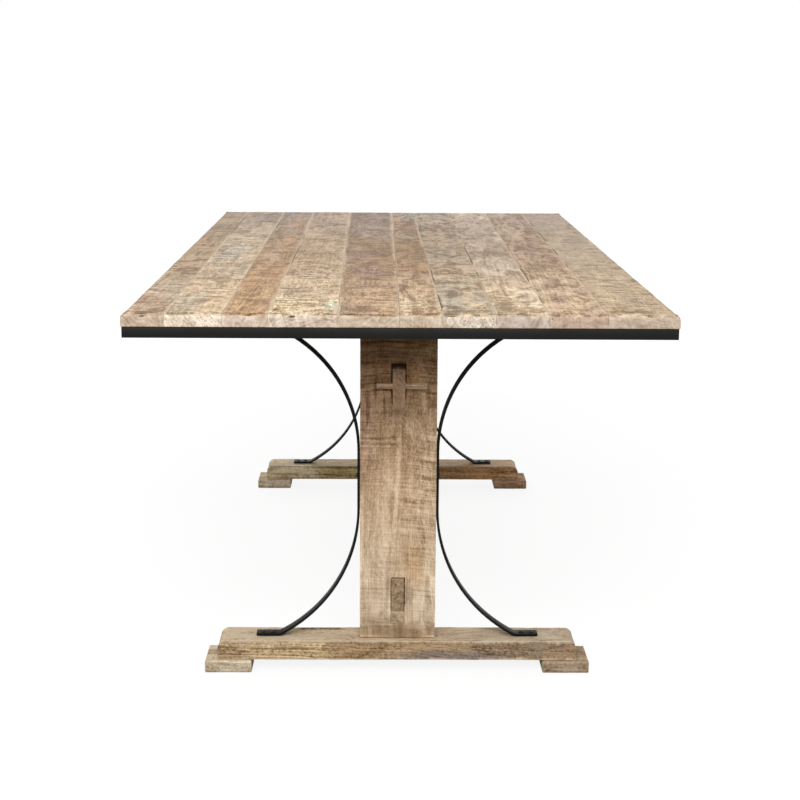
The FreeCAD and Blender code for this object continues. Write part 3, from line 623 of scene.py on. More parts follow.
    def _end_grain(self) -> Socket:
        """Sawn ends, with faint rings, slanted saw marks and scrawled wormholes.

        Returns:
            Their colour.
        """
        finish = self.finish
        slanted = self.math("MULTIPLY_ADD", self.through, finish.end_slant, self.across)
        turned = self.vector(slanted, self.across, self.through)
        colour = self._shaded(paint(finish.end), self.summed((
            (self.swing(self.rings), 0.14),
            (self.swing(self.noise(turned, END_SLASHES, finish.seed)), 0.20),
            (self.swing(self._drawn(END_PATCHES)), 0.30),
            (self.swing(self.cloud), 0.12),
        )))
        strokes = self.band(self._drawn(END_STROKES), 0.53, 0.6)
        return self.blend(self.math("MULTIPLY", strokes, finish.scrawl), colour, finish.shaded,
                          "MULTIPLY")

    def _edge(self) -> Socket:
        """Pale rubbed wood and painted highlight along the long edges and arrises, which come and
        go.

        Returns:
            Its share at a point.
        """
        width = self.finish.rim_width
        wide = self.math("MULTIPLY_ADD", self.drift, width * -2.4, self.math(
            "ADD", self.attribute("rim"), width * -1.9))
        feathered = self.math("MULTIPLY_ADD", self.lines, width * 3.2, wide)
        wavy = self.math("MULTIPLY_ADD", self.cloud, width * 3.0, feathered)
        line = self.band(wavy, -0.3 * width, width * 1.2, self.finish.rim, 0.0)
        return self.math("MULTIPLY", line, self.band(self.drift, 0.35, 0.6, 0.65, 1.0))

    def _dirt(self) -> Socket:
        """Dirt and painted shade in chips, cracks and corners, and in dashes along worn ends.

        Returns:
            Its share at a point.
        """
        ragged = self.math("MULTIPLY_ADD", self.specks, 1.6, -0.8)
        chips = self.band(self.math("ADD", self.attribute("dirt_and_shade_amount"), ragged), 0.30, 0.75, 0.0, 0.9)
        closeness = self.math("ADD", self.attribute("arris"), self.math("MULTIPLY", ragged, 0.5))
        dashes = self.band(self._drawn(DIRT_DASHES), 0.54, 0.6, 0.0, 0.7)
        shown = self.math("MULTIPLY", self.band(closeness, 0.45, 0.9), dashes)
        return self.math("MAXIMUM", chips, shown)


@dataclass(frozen=True)
class BlackMetalFinish:
    """Satin black paint over iron, with a fine orange peel, dust in its dull patches and a brown
    band of painted shadow, tinted like reflected wood, from a given height up.
    """

    colour: Tone = (22, 22, 21)
    dust: Tone = (58, 54, 48)
    dull: float = 0.68
    bright: float = 0.5
    peel: float = 0.00012
    painted_shadow: Tone = (74, 52, 34)
    painted_shadow_top: float = 9.0
    painted_shadow_depth: float = 0.006

    def material(self, name: str) -> bpy.types.Material:
        """Make the material.

        Args:
            name: Name of the material.

        Returns:
            The material.
        """
        graph = Graph(bpy.data.materials.new(name))
        place = graph.read("Object")
        clouds = graph.noise(place, METAL_CLOUDS)
        specks = graph.noise(place, METAL_SPECKS)
        dusty = graph.math("MULTIPLY", graph.band(clouds, 0.45, 0.75), graph.band(specks, 0.4, 0.7))
        colour = graph.blend(graph.math("MULTIPLY", dusty, 0.35), paint(self.colour),
                             paint(self.dust))
        # Painted shadow under the boards, brown like reflected wood, reaching full strength at the
        # given height.
        shadow_band = graph.band(graph.parts(place)[2], self.painted_shadow_top - self.painted_shadow_depth,
                             self.painted_shadow_top, 0.0, 0.6)
        return graph.surface({
            "Base Color": graph.blend(shadow_band, colour, paint(self.painted_shadow)),
            "Roughness": graph.band(clouds, 0.35, 0.65, self.bright, self.dull),
            "Specular IOR Level": DULL_SHINE,
        }, graph.noise(place, ORANGE_PEEL), self.peel)


@dataclass(frozen=True)
class ZincFinish:
    """Dull bright-zinc plate, as on the hidden fasteners."""

    colour: Tone = (172, 174, 176)
    tarnish: Tone = (118, 112, 100)
    scratch_depth: float = 0.00005

    def material(self, name: str) -> bpy.types.Material:
        """Make the material.

        Args:
            name: Name of the material.

        Returns:
            The material.
        """
        graph = Graph(bpy.data.materials.new(name))
        place = graph.read("Object")
        clouds = graph.noise(place, ZINC_CLOUDS)
        return graph.surface({
            "Base Color": graph.blend(graph.band(clouds, 0.4, 0.75), paint(self.colour),
                                      paint(self.tarnish)),
            "Metallic": 1.0,
            "Roughness": graph.band(clouds, 0.3, 0.7, 0.32, 0.55),
        }, graph.noise(place, ZINC_SCRATCHES), self.scratch_depth)


# ---- modelling


@dataclass(frozen=True)
class Mark:
    """Chip or crack in a surface: a groove from one point to another."""

    start: Triple
    end: Triple
    width: float
    depth: float


@dataclass(frozen=True)
class Unevenness:
    """Soft noise that moves a surface: its cells, how far it moves, and which way."""

    cell: Triple
    amount: float
    direction: str = "NORMAL"
    middle: float = 1.0
    seed: float = 0.0


class Workpiece:
    """One mesh in work: a primitive that is cut, bevelled, refined and made uneven."""

    def __init__(self, name: str, low: Vector, high: Vector) -> None:
        """Add a block and go into edit mode.

        Args:
            name: Name of the piece.
            low: Lowest corner of the block.
            high: Highest corner of the block.
        """
        bpy.ops.object.select_all(action="DESELECT")
        bpy.ops.mesh.primitive_cube_add(size=1.0, location=(low + high) / 2)
        self.low = low.copy()
        self.high = high.copy()
        self.piece = bpy.context.object
        self.piece.name = name
        self.piece.data.name = name
        self.piece.scale = high - low
        bpy.ops.object.transform_apply(location=True, rotation=True, scale=True)
        self.edit()

    @classmethod
    def around(cls, piece: bpy.types.Object) -> Workpiece:
        """Take up an object that is already there.

        Args:
            piece: The object.

        Returns:
            Its workpiece, in object mode.
        """
        work = cls.__new__(cls)
        work.piece = piece
        work.low, work.high = (Vector(corner(axis) for axis in zip(*piece.bound_box))
                               for corner in (min, max))
        return work

    def edit(self) -> None:
        """Go into edit mode with nothing selected."""
        bpy.context.view_layer.objects.active = self.piece
        self.piece.select_set(True)
        bpy.ops.object.mode_set(mode="EDIT")
        bpy.ops.mesh.select_all(action="DESELECT")

    def leave(self) -> None:
        """Go back to object mode."""
        if self.piece.mode == "EDIT":
            bpy.ops.object.mode_set(mode="OBJECT")

    def _pick(self, mode: str, test: Callable[[object], bool]) -> None:
        """Select only the elements for which a test holds.

        Args:
            mode: Kind of the elements: VERT, EDGE or FACE.
            test: The test.
        """
        bpy.ops.mesh.select_all(action="DESELECT")
        bpy.ops.mesh.select_mode(type=mode)
        mesh = bmesh.from_edit_mesh(self.piece.data)
        mesh.normal_update()
        for element in {"VERT": mesh.verts, "EDGE": mesh.edges, "FACE": mesh.faces}[mode]:
            if test(element):
                element.select_set(True)
        if mode == "VERT":
            mesh.select_flush(True)
        bmesh.update_edit_mesh(self.piece.data)

    def pick_points(self, test: PointTest) -> None:
        """Select only the points for whose place a test holds."""
        self._pick("VERT", lambda point: test(point.co))

    def pick_edges(self, test: PlaceTest) -> None:
        """Select only the edges for whose middle and direction a test holds."""
        self._pick("EDGE", lambda edge: test((edge.verts[0].co + edge.verts[1].co) / 2,
                                             (edge.verts[1].co - edge.verts[0].co).normalized()))

    def pick_faces(self, test: PlaceTest) -> None:
        """Select only the faces for whose middle and normal a test holds."""
        self._pick("FACE", lambda face: test(face.calc_center_median(), face.normal))

    def move(self, test: PointTest, by: Vector) -> None:
        """Move the points for whose place a test holds."""
        self.pick_points(test)
        bpy.ops.transform.translate(value=by)

    def bevel(self, test: PlaceTest, width: float, segments: int) -> None:
        """Round edges.

        Args:
            test: Test for an edge's middle and direction.
            width: Width of the rounding.
            segments: Number of its segments.
        """
        self.pick_edges(test)
        bpy.ops.mesh.bevel(offset=width, offset_type="OFFSET", segments=segments, profile=0.5,
                           affect="EDGES", clamp_overlap=False)

    def bevel_all(self, width: float) -> None:
        """Round every edge."""
        self.bevel(lambda middle, way: True, width, 2)

    def soften(self, width: float, degrees: float) -> None:
        """Round the edges that are sharper than an angle."""
        self.apply("BEVEL", width=width, segments=2, limit_method="ANGLE",
                   angle_limit=math.radians(degrees))

    def extrude(self, test: PlaceTest, by: Vector) -> None:
        """Draw the faces for which a test holds out of the piece, or push them into it."""
        self.pick_faces(test)
        bpy.ops.mesh.extrude_region_move(TRANSFORM_OT_translate={"value": by})

    def cut(self, axis: int, places: Sequence[float]) -> None:
        """Cut edges into the whole piece where planes square to an axis cross it.

        Args:
            axis: Number of the axis.
            places: Places of the planes on it.
        """
        normal = [0.0, 0.0, 0.0]
        normal[axis] = 1.0
        for place in places:
            bpy.ops.mesh.select_all(action="SELECT")
            bpy.ops.mesh.bisect(plane_co=[place * share for share in normal], plane_no=normal)

    def divide(self, step: float, *axes: int) -> None:
        """Cut the piece into equal lengths.

        Args:
            step: About how long they are.
            *axes: Axes along which the piece is cut.
        """
        for axis in axes:
            length = self.high[axis] - self.low[axis]
            count = max(1, round(length / step))
            self.cut(axis, [self.low[axis] + length * part / count for part in range(1, count)])

    def pierce(self, axis: int, inside: PointTest) -> None:
        """Open a hole right through the piece along an axis, where cuts already outline it.

        Args:
            axis: Axis of the hole.
            inside: Test for a point of the hole's cross-section.
        """
        self.pick_faces(lambda middle, normal: abs(normal[axis]) > PARALLEL and inside(middle))
        bpy.ops.mesh.delete(type="FACE")
        bpy.ops.mesh.select_mode(type="EDGE")
        bpy.ops.mesh.select_non_manifold()
        bpy.ops.mesh.bridge_edge_loops()

    def apply(self, kind: str, **settings: object) -> None:
        """Add a modifier and apply it.

        Args:
            kind: Blender's name of the modifier type.
            **settings: Properties of the modifier.
        """
        self.leave()
        bpy.context.view_layer.objects.active = self.piece
        modifier = self.piece.modifiers.new(kind, kind)
        for key, value in settings.items():
            setattr(modifier, key, value)
        bpy.ops.object.modifier_apply(modifier=modifier.name)

    def refine(self, levels: int) -> None:
        """Divide every face evenly, so that it can be made uneven."""
        self.apply("SUBSURF", subdivision_type="SIMPLE", levels=levels, render_levels=levels)

    def merge_doubles(self) -> None:
        """Join points that lie in the same place, over the whole piece, which stays selected."""
        bpy.ops.mesh.select_all(action="SELECT")
        bpy.ops.mesh.remove_doubles(threshold=MERGED)

    def points(self) -> np.ndarray:
        """Read where the points are.

        Returns:
            Their places, one row each.
        """
        flat = np.empty(len(self.piece.data.vertices) * 3)
        self.piece.data.vertices.foreach_get("co", flat)
        return flat.reshape(-1, 3)

    def weigh(self, name: str, weights: np.ndarray) -> None:
        """Keep a weight for each point in a vertex group.

        Args:
            name: Name of the group.
            weights: The weights, from 0 to 1.
        """
        group = self.piece.vertex_groups.new(name=name)
        for index in np.nonzero(weights > LEAST_WEIGHT)[0]:
            group.add([int(index)], float(weights[index]), "REPLACE")

    def keep(self, name: str, values: np.ndarray) -> None:
        """Keep a number for each point, for the material to read."""
        attribute = self.piece.data.attributes.new(name, "FLOAT", "POINT")
        attribute.data.foreach_set("value", values.astype(np.float32))

    def roughen(self, layers: Sequence[Unevenness], group: str = "") -> None:
        """Move the surface by layers of noise.

        Args:
            layers: The layers, in turn.
            group: Vertex group that limits them.
        """
        for layer in layers:
            texture = bpy.data.textures.new("uneven", "CLOUDS")
            texture.noise_scale = 1.0
            texture.noise_depth = 2
            guide = bpy.data.objects.new("uneven", None)
            bpy.context.scene.collection.objects.link(guide)
            guide.scale = layer.cell
            guide.location = [layer.seed * share for share in layer.cell]
            bpy.context.view_layer.update()
            self.apply("DISPLACE", texture=texture, texture_coords="OBJECT",
                       texture_coords_object=guide, strength=layer.amount,
                       mid_level=layer.middle, direction=layer.direction, vertex_group=group)
            bpy.data.objects.remove(guide)
            bpy.data.textures.remove(texture)

    def scar(self, marks: Sequence[Mark], soil: np.ndarray) -> None:
        """Press chips and cracks into the surface, and keep the dirt and painted shade in them in
        the attribute worn.

        Args:
            marks: The chips and cracks.
            soil: Dirt that is there besides, at each point.
        """
        places = self.points()
        dirt_and_shade_amount = soil.copy()
        pressed = np.zeros(len(places))
        deepest = max((mark.depth for mark in marks), default=1.0)
        for mark in marks:
            start = np.array(mark.start)
            run = np.array(mark.end) - start
            share = np.clip((places - start) @ run / max(float(run @ run), 1e-12), 0.0, 1.0)
            away = np.linalg.norm(places - start - share[:, None] * run, axis=1)
            near = np.clip(1.0 - away / mark.width, 0.0, 1.0)
            soft = near * near * (3.0 - 2.0 * near)
            dirt_and_shade_amount = np.maximum(dirt_and_shade_amount, soft)
            pressed = np.maximum(pressed, soft * mark.depth / deepest)
        if marks:
            self.weigh("pressed", pressed)
            self.apply("DISPLACE", strength=-deepest, mid_level=0.0, vertex_group="pressed")
        self.keep("dirt_and_shade_amount", dirt_and_shade_amount)

    def deliver(self, body: str, slot: str, material: bpy.types.Material, *nodes: str) -> None:
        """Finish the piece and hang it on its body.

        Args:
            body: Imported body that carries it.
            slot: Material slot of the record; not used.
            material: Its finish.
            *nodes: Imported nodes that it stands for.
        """
        self.leave()
        bpy.ops.object.select_all(action="DESELECT")
        self.piece.select_set(True)
        bpy.context.view_layer.objects.active = self.piece
        bpy.ops.object.shade_smooth_by_angle(angle=math.radians(SMOOTH_DEGREES))
        self.piece.vertex_groups.clear()
        self.piece.data.materials.clear()
        self.piece.data.materials.append(material)
        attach(self.piece, body)
        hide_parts(*nodes)
        LOG.info("%s: %d faces, rides on %s", self.piece.name, len(self.piece.data.polygons), body)

    def dress(self, finish: TimberFinish, layers: Sequence[Unevenness], node: str,
              slot: str = "trestle_wood", body: str = "root",
              dirt_and_shade: np.ndarray | None = None) -> None:
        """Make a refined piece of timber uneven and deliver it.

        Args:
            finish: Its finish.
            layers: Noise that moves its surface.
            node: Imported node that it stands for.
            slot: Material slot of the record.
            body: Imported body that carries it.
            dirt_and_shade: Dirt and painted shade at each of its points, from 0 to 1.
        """
        places = self.points()
        sides = [np.minimum(places[:, axis] - self.low[axis], self.high[axis] - places[:, axis])
                 for axis in range(3) if axis != finish.grain.value]
        self.keep("rim", np.maximum(*sides))
        self.keep("dirt_and_shade_amount", np.zeros(len(places)) if dirt_and_shade is None else dirt_and_shade)
        self.roughen(layers)
        self.deliver(body, slot, finish.material(self.piece.name, self.low, self.high), node)


# ---- tabletop


ARRIS_ROUND = 0.010
TABLE_HEIGHT = 0.765
FRONT_END = -1.0


def end_chip(across: float, width: float, depth: float, fall: float = 0.0,
             reach: float = 0.0) -> Mark:
    """Chip in the rounded upper edge of the front end.

    Args:
        across: Place across the table.
        width: How wide its soft edge is.
        depth: Its depth.
        fall: How far it lies under the top.
        reach: How far it runs to the right.

    Returns:
        The mark.
    """
    round_left = max(ARRIS_ROUND - fall, 0.0)
    front = FRONT_END + ARRIS_ROUND - math.sqrt(ARRIS_ROUND ** 2 - round_left ** 2)
    height = TABLE_HEIGHT - fall
    return Mark((across, front, height), (across + reach, front, height), width, depth)


@dataclass(frozen=True)
class Board:
    """Looks of one board of the top, how low it lies, and its chips, cracks and dirty joints."""

    finish: BoardFinish
    drop: float = 0.0
    soiled: tuple[tuple[float, float], ...] = ()
    chips: tuple[tuple[float, ...], ...] = ()
    cracks: tuple[Mark, ...] = ()

    @property
    def marks(self) -> tuple[Mark, ...]:
        """All its chips and cracks."""
        return (*(end_chip(*chip) for chip in self.chips), *self.cracks)


BOARDS: tuple[Board, ...] = (
    Board(
        BoardFinish(
            tones=((197, 175, 150), (178, 152, 121), (168, 146, 126)),
            patch=(190, 152, 120), end=(199, 176, 153), seed=1.3, saw=1.15, mottle=0.35, rim=0.56,
            pith=(0.03, -0.05),
            patches=(Patch(-0.01, 0.72, 0.05, 0.10, 0.4, (190, 172, 136)),
                     Patch(-0.03, 0.54, 0.03, 0.05, 0.5, (140, 118, 92)),
                     Patch(0.0, -0.86, 0.06, 0.10, 0.35, (168, 138, 110))),
        ),
        drop=0.0004,
        chips=(
            (-0.486, 0.0042, 0.0020, 0.0001, 0.020), (-0.466, 0.0056, 0.0030, 0.0002, 0.012),
            (-0.452, 0.0040, 0.0018, 0.0001, 0.022), (-0.4635, 0.0050, 0.0028, 0.0050, 0.005),
        ),
    ),
    Board(
        BoardFinish(
            tones=((210, 181, 145), (207, 179, 147), (169, 147, 126)),
            patch=(190, 176, 156), shaded=(0.44, 0.41, 0.37), end=(236, 217, 194), seed=7.9,
            saw=1.1, mottle=0.5, scrawl=0.5, rim=0.9, rim_width=0.007, pith=(-0.04, -0.09),
            patches=(Patch(0.01, 0.82, 0.06, 0.14, 0.5, (150, 134, 120)),
                     Patch(0.0, -0.02, 0.05, 0.14, 0.5, (206, 194, 178)),
                     Patch(0.01, -0.42, 0.05, 0.10, 0.5, (164, 146, 124)),
                     Patch(-0.01, 0.28, 0.05, 0.12, 0.4, (212, 192, 160))),
        ),
        soiled=((0.92, 0.30),),
        chips=(
            (-0.408, 0.0030, 0.0010, 0.0001, 0.014), (-0.352, 0.0030, 0.0012, 0.0001, 0.020),
        ),
    ),
    Board(
        BoardFinish(
            tones=((190, 158, 116), (175, 143, 108), (143, 135, 126)),
            patch=(192, 148, 112), shaded=(0.50, 0.42, 0.34), end=(214, 193, 173), seed=13.1,
            end_slant=-0.5, saw=0.6, mottle=0.6, figure=0.4, rim_width=0.006, pith=(0.0, -0.03),
            patches=(Patch(-0.01, -0.10, 0.02, 0.12, 0.4, (204, 180, 154)),
                     Patch(0.036, -0.26, 0.007, 0.02, 0.7),
                     Patch(0.0, 0.12, 0.05, 0.10, 0.4, (160, 130, 102))),
        ),
        drop=0.0003,
        soiled=((0.72, 0.46), (-0.90, -0.99)),
        chips=(
            (-0.2745, 0.0066, 0.0040, 0.0012, 0.005), (-0.268, 0.0030, 0.0014, 0.0004, 0.018),
        ),
    ),
    Board(
        BoardFinish(
            tones=((224, 197, 160), (181, 152, 122), (169, 147, 130)),
            patch=(204, 178, 146), end=(215, 196, 177), seed=19.7, end_slant=0.3, saw=1.15,
            mottle=0.45, speckle=0.5, rim=0.9, rim_width=0.006, pith=(0.05, -0.08),
            patches=(Patch(-0.04, -0.93, 0.024, 0.06, 0.7, (232, 210, 160)),
                     Patch(0.045, -0.88, 0.016, 0.08, 0.7, (226, 222, 194)),
                     Patch(0.0, -0.72, 0.06, 0.12, 0.45, (170, 142, 110)),
                     Patch(0.046, 0.36, 0.022, 0.04, 0.6, (120, 96, 74)),
                     Patch(-0.052, -0.955, 0.008, 0.02, 0.9)),
        ),
        soiled=((0.40, 0.20), (0.12, -0.32), (-0.60, -0.70)),
        chips=(
            (-0.2150, 0.0030, 0.0012, 0.0002, 0.010), (-0.1960, 0.0056, 0.0030, 0.0052, 0.005),
            (-0.1320, 0.0042, 0.0022, 0.0006, 0.020),
        ),
    ),
    Board(
        BoardFinish(
            tones=((191, 158, 123), (159, 126, 92), (140, 121, 107)), patch=(164, 138, 118),
            end=(204, 183, 160), seed=26.3, end_slant=-1.2, saw=0.95, mottle=0.55, speckle=0.45,
            rim=0.95, rim_width=0.008, pith=(0.01, -0.11),
            patches=(Patch(0.0, 0.44, 0.06, 0.22, 0.5, (184, 166, 150)),
                     Patch(0.0, -0.03, 0.09, 0.05, 0.7, (128, 102, 84)),
                     Patch(-0.052, -0.06, 0.010, 0.03, 0.8),
                     Patch(0.01, -0.42, 0.05, 0.14, 0.5, (160, 130, 110)),
                     Patch(0.03, 0.84, 0.03, 0.07, 0.5, (146, 130, 120))),
        ),
        drop=0.0004,
        soiled=((0.02, -0.10),),
        chips=(
            (-0.1070, 0.0040, 0.0022, 0.0006, 0.026), (-0.0790, 0.0034, 0.0016, 0.0001, 0.038),
            (-0.0310, 0.0050, 0.0026, 0.0010, 0.008), (-0.0140, 0.0044, 0.0020, 0.0022, 0.004),
        ),
    ),
    Board(
        BoardFinish(
            tones=((209, 182, 147), (154, 122, 87), (172, 165, 147)), patch=(170, 128, 94),
            end=(206, 185, 161), seed=33.9, end_slant=0.05, saw=0.6, mottle=1.0, speckle=0.45,
            blotch=0.7, pith=(-0.02, -0.02),
            patches=(Patch(0.0, -0.40, 0.05, 0.16, 0.55, (158, 116, 82)),
                     Patch(0.01, -0.06, 0.04, 0.05, 0.6, (140, 104, 76)),
                     Patch(0.012, 0.36, 0.03, 0.06, 0.6, (134, 112, 84)),
                     Patch(-0.004, -0.95, 0.018, 0.03, 0.7, (136, 104, 72))),
        ),
        chips=((0.012, 0.0030, 0.0010, 0.0001, 0.016),),
    ),
    Board(
        BoardFinish(
            tones=((199, 172, 139), (172, 146, 118), (172, 148, 126)),
            patch=(166, 150, 128), shaded=(0.44, 0.40, 0.34), end=(221, 204, 184), seed=41.3,
            saw=0.9, mottle=1.0, blotch=0.7, scrawl=0.6, rim=0.6, pith=(0.03, -0.04),
            patches=(Patch(-0.01, 0.02, 0.03, 0.05, 0.7, (122, 104, 82)),
                     Patch(0.03, 0.54, 0.02, 0.03, 0.6, (130, 114, 96)),
                     Patch(0.0, 0.96, 0.06, 0.03, 0.6, (136, 124, 108)),
                     Patch(0.02, -0.55, 0.03, 0.10, 0.4, (206, 190, 160)),
                     Patch(0.0, -0.80, 0.05, 0.06, 0.4, (156, 138, 116))),
        ),
        drop=0.0003,
        soiled=((0.60, 0.40), (-0.30, -0.62), (-0.70, -0.98)),
        chips=(
            (0.0800, 0.0034, 0.0014, 0.0026, 0.016), (0.1635, 0.0034, 0.0022, 0.0095),
        ),
    ),
    Board(
        BoardFinish(
            tones=((226, 198, 162), (174, 148, 126), (192, 172, 151)),
            patch=(204, 182, 154), end=(204, 186, 170), contrast=1.45, seed=48.7, end_slant=-0.6,
            saw=0.6, mottle=0.85, figure=0.3, pith=(0.0, -0.025),
            patches=(Patch(0.0, 0.36, 0.05, 0.05, 0.5, (152, 136, 120)),
                     Patch(0.024, -0.04, 0.022, 0.06, 0.6, (138, 110, 86)),
                     Patch(0.01, -0.34, 0.05, 0.12, 0.45, (204, 184, 166)),
                     Patch(0.0, -0.92, 0.05, 0.04, 0.4, (186, 156, 122))),
        ),
        soiled=((0.98, 0.80), (0.66, 0.52), (0.40, 0.22), (0.14, -0.30), (-0.36, -0.52)),
        chips=((0.2620, 0.0030, 0.0012, 0.0004, 0.012),),
    ),
    Board(
        BoardFinish(
            tones=((217, 187, 151), (176, 147, 118), (172, 149, 126)),
            patch=(170, 140, 116), end=(200, 175, 155), contrast=1.45, seed=55.1, end_slant=0.1,
            saw=0.55, mottle=0.95, figure=0.35, blotch=0.7, speckle=0.35, pith=(0.04, -0.03),
            patches=(Patch(-0.01, 0.14, 0.05, 0.16, 0.5, (152, 122, 102)),
                     Patch(0.0, -0.28, 0.06, 0.05, 0.6, (142, 110, 86)),
                     Patch(0.02, 0.72, 0.04, 0.18, 0.4, (180, 154, 142)),
                     Patch(-0.02, -0.80, 0.03, 0.05, 0.5, (164, 132, 102))),
        ),
        drop=0.0002,
        soiled=((0.60, 0.44), (-0.28, -0.60), (-0.72, -0.90)),
        chips=(
            (0.2700, 0.0040, 0.0026, 0.0080), (0.3060, 0.0030, 0.0016, 0.0090),
            (0.3790, 0.0034, 0.0018, 0.0020, 0.004),
        ),
    ),
    Board(
        BoardFinish(
            tones=((200, 174, 139), (189, 166, 139), (178, 158, 140)),
            patch=(192, 170, 144), end=(198, 178, 157), contrast=1.3, seed=62.9, end_slant=0.4,
            saw=1.15, mottle=0.35, rim=0.56, pith=(-0.02, -0.07),
            patches=(Patch(0.03, 0.26, 0.04, 0.10, 0.5, (158, 142, 122)),
                     Patch(0.058, 0.64, 0.014, 0.03, 0.8, (108, 94, 80)),
                     Patch(0.0, -0.92, 0.07, 0.05, 0.4, (180, 150, 122))),
        ),
        soiled=((0.74, 0.56), (0.50, 0.18), (0.10, -0.12), (-0.20, -0.34)),
        chips=(
            (0.4200, 0.0036, 0.0020, 0.0001, 0.046), (0.4400, 0.0050, 0.0036, 0.0012, 0.003),
            (0.4430, 0.0036, 0.0022, 0.0042, 0.003), (0.4480, 0.0028, 0.0010, 0.0036, 0.018),
        ),
        cracks=(
            Mark((0.448, -0.81, TABLE_HEIGHT), (0.456, -0.86, TABLE_HEIGHT), 0.0040, 0.0020),
            Mark((0.438, -0.25, TABLE_HEIGHT), (0.442, -0.30, TABLE_HEIGHT), 0.0040, 0.0020),
        ),
    ),
)


@dataclass
class Lie:
    """Where a board lies: its box, the sides of its two ends, and its outer side if it has one."""

    low: Vector
    high: Vector
    front: tuple[float, float]
    back: tuple[float, float]
    outer: float | None


@dataclass
class Tabletop:
    """Ten tapered boards whose outer edges are rounded and whose joints wander a little."""

    corner_round: float = 0.005
    lower_round: float = 0.0014
    edge_margin: float = 0.014
    seam_chamfer: float = 0.0002
    at_side: float = 0.02
    at_end: float = 0.001
    end_gap: float = 0.0004
    closing: float = 0.00047
    left_bias: float = 2.2
    joint_dirt: float = 0.0060
    dirt_fade: float = 0.08
    dirt_strength: float = 0.85
    dirt_depth: float = 0.004
    outer_inset: float = 0.0003
    outer_wear: float = 0.0030
    arris_reach: float = 0.005
    wander: float = 0.0024
    still_below: float = 0.003
    loose_above: float = 0.008
    cell_along: float = 0.040
    cell_across: float = 0.026
    end_zone: float = 0.10

    def build(self, nodes: Mapping[str, bpy.types.Object]) -> None:
        """Make all boards."""
        for number, board in enumerate(BOARDS, start=1):
            self._board(number, board, nodes[f"top_plank_{number:02d}"])

    def _board(self, number: int, board: Board, node: bpy.types.Object) -> None:
        """Make one board in the place of its node.

        Args:
            number: Its number, from the left.
            board: Its looks.
            node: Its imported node.
        """
        lie = self._lie(number, board, node)
        low, high, seed = lie.low, lie.high, board.finish.seed
        work = Workpiece(f"sawn_board_{number:02d}", low, high)
        self._taper(work, lie)
        self._round(work, lie)
        self._mesh(work, lie)

        places = work.points()
        share = (places[:, 1] - low.y) / (high.y - low.y)
        left, right = (front + (back - front) * share for front, back in zip(lie.front, lie.back))
        aside = np.minimum((places[:, 0] - left) * self.left_bias, right - places[:, 0])
        above = np.minimum(places[:, 2] - low.z, high.z - places[:, 2])
        to_end = np.minimum(places[:, 1] - low.y, high.y - places[:, 1])
        from_arris = np.hypot(to_end - ARRIS_ROUND * 0.8, high.z - places[:, 2])
        work.keep("rim", np.maximum(aside, above))
        work.keep("arris", np.clip(1.0 - from_arris / self.arris_reach, 0.0, 1.0))
        work.weigh("upper", np.clip((places[:, 2] - low.z - self.still_below) / self.loose_above,
                                    0.0, 1.0))
        self._loosen(work, places, lie.outer, seed)
        work.roughen([
            Unevenness((0.12, 0.26, 0.4), 0.0016, "Z", 1.0, seed),
            Unevenness((0.09, 0.013, 0.4), 0.0008, "Z", 1.0, seed + 5),
            Unevenness((0.012, 0.02, 0.012), 0.0006, "NORMAL", 1.0, seed + 9),
        ], "upper")
        work.scar(board.marks, self._soil(board, places, left, high.z))
        work.deliver("root", "top_board", board.finish.material(work.piece.name, low, high),
                     node.name)

    def _lie(self, number: int, board: Board, node: bpy.types.Object) -> Lie:
        """Find out where a board lies, a little wider than its node so that the joints close.

        Args:
            number: Its number, from the left.
            board: Its looks.
            node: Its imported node.

        Returns:
            Its place.
        """
        low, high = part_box(node.name)
        first, last = number == 1, number == len(BOARDS)
        left_shift = self.outer_inset if first else -self.closing
        right_shift = -self.outer_inset if last else self.closing
        ends = []
        for end in (low.y, high.y):
            across = [point.co.x for point in node.data.vertices
                      if abs(point.co.y - end) < self.at_side]
            ends.append((min(across) + left_shift, max(across) + right_shift))
        front, back = ends
        low.y += self.end_gap
        high.y -= self.end_gap
        high.z -= board.drop
        outer = min(front[0], back[0]) if first else max(front[1], back[1]) if last else None
        return Lie(low, high, front, back, outer)

    def _taper(self, work: Workpiece, lie: Lie) -> None:
        """Move the block's upright edges to the sides of the board's ends.

        Args:
            work: The board.
            lie: Its place.
        """
        middle = (lie.low + lie.high) / 2
        for at_back, sides in ((False, lie.front), (True, lie.back)):
            for at_right, current, target in zip((False, True), (lie.low.x, lie.high.x), sides):
                work.move(lambda point, back=at_back, right=at_right:
                          (point.y > middle.y) == back and (point.x > middle.x) == right,
                          X_AXIS * (target - current))

    def _round(self, work: Workpiece, lie: Lie) -> None:
        """Round a board's ends and outer side, and ease its joints.

        Args:
            work: The board.
            lie: Its place.
        """

        def outside(middle: Vector) -> bool:
            """Whether an edge is on the outer side."""
            return lie.outer is not None and abs(middle.x - lie.outer) < self.at_side

        def rounded(middle: Vector) -> bool:
            """Whether an edge is on the outer side or at an end."""
            to_end = min(middle.y - lie.low.y, lie.high.y - middle.y)
            return outside(middle) or to_end < self.at_end

        if lie.outer is not None:
            work.bevel(lambda middle, way: abs(way.z) > PARALLEL and outside(middle),
                       self.corner_round, 5)
        work.bevel(lambda middle, way: abs(middle.z - lie.high.z) < SAME and rounded(middle),
                   ARRIS_ROUND, 5)
        work.bevel(lambda middle, way: abs(middle.z - lie.low.z) < SAME and rounded(middle),
                   self.lower_round, 3)
        work.bevel(lambda middle, way: abs(middle.z - lie.high.z) < SAME
                   and abs(way.y) > PARALLEL and not outside(middle), self.seam_chamfer, 1)

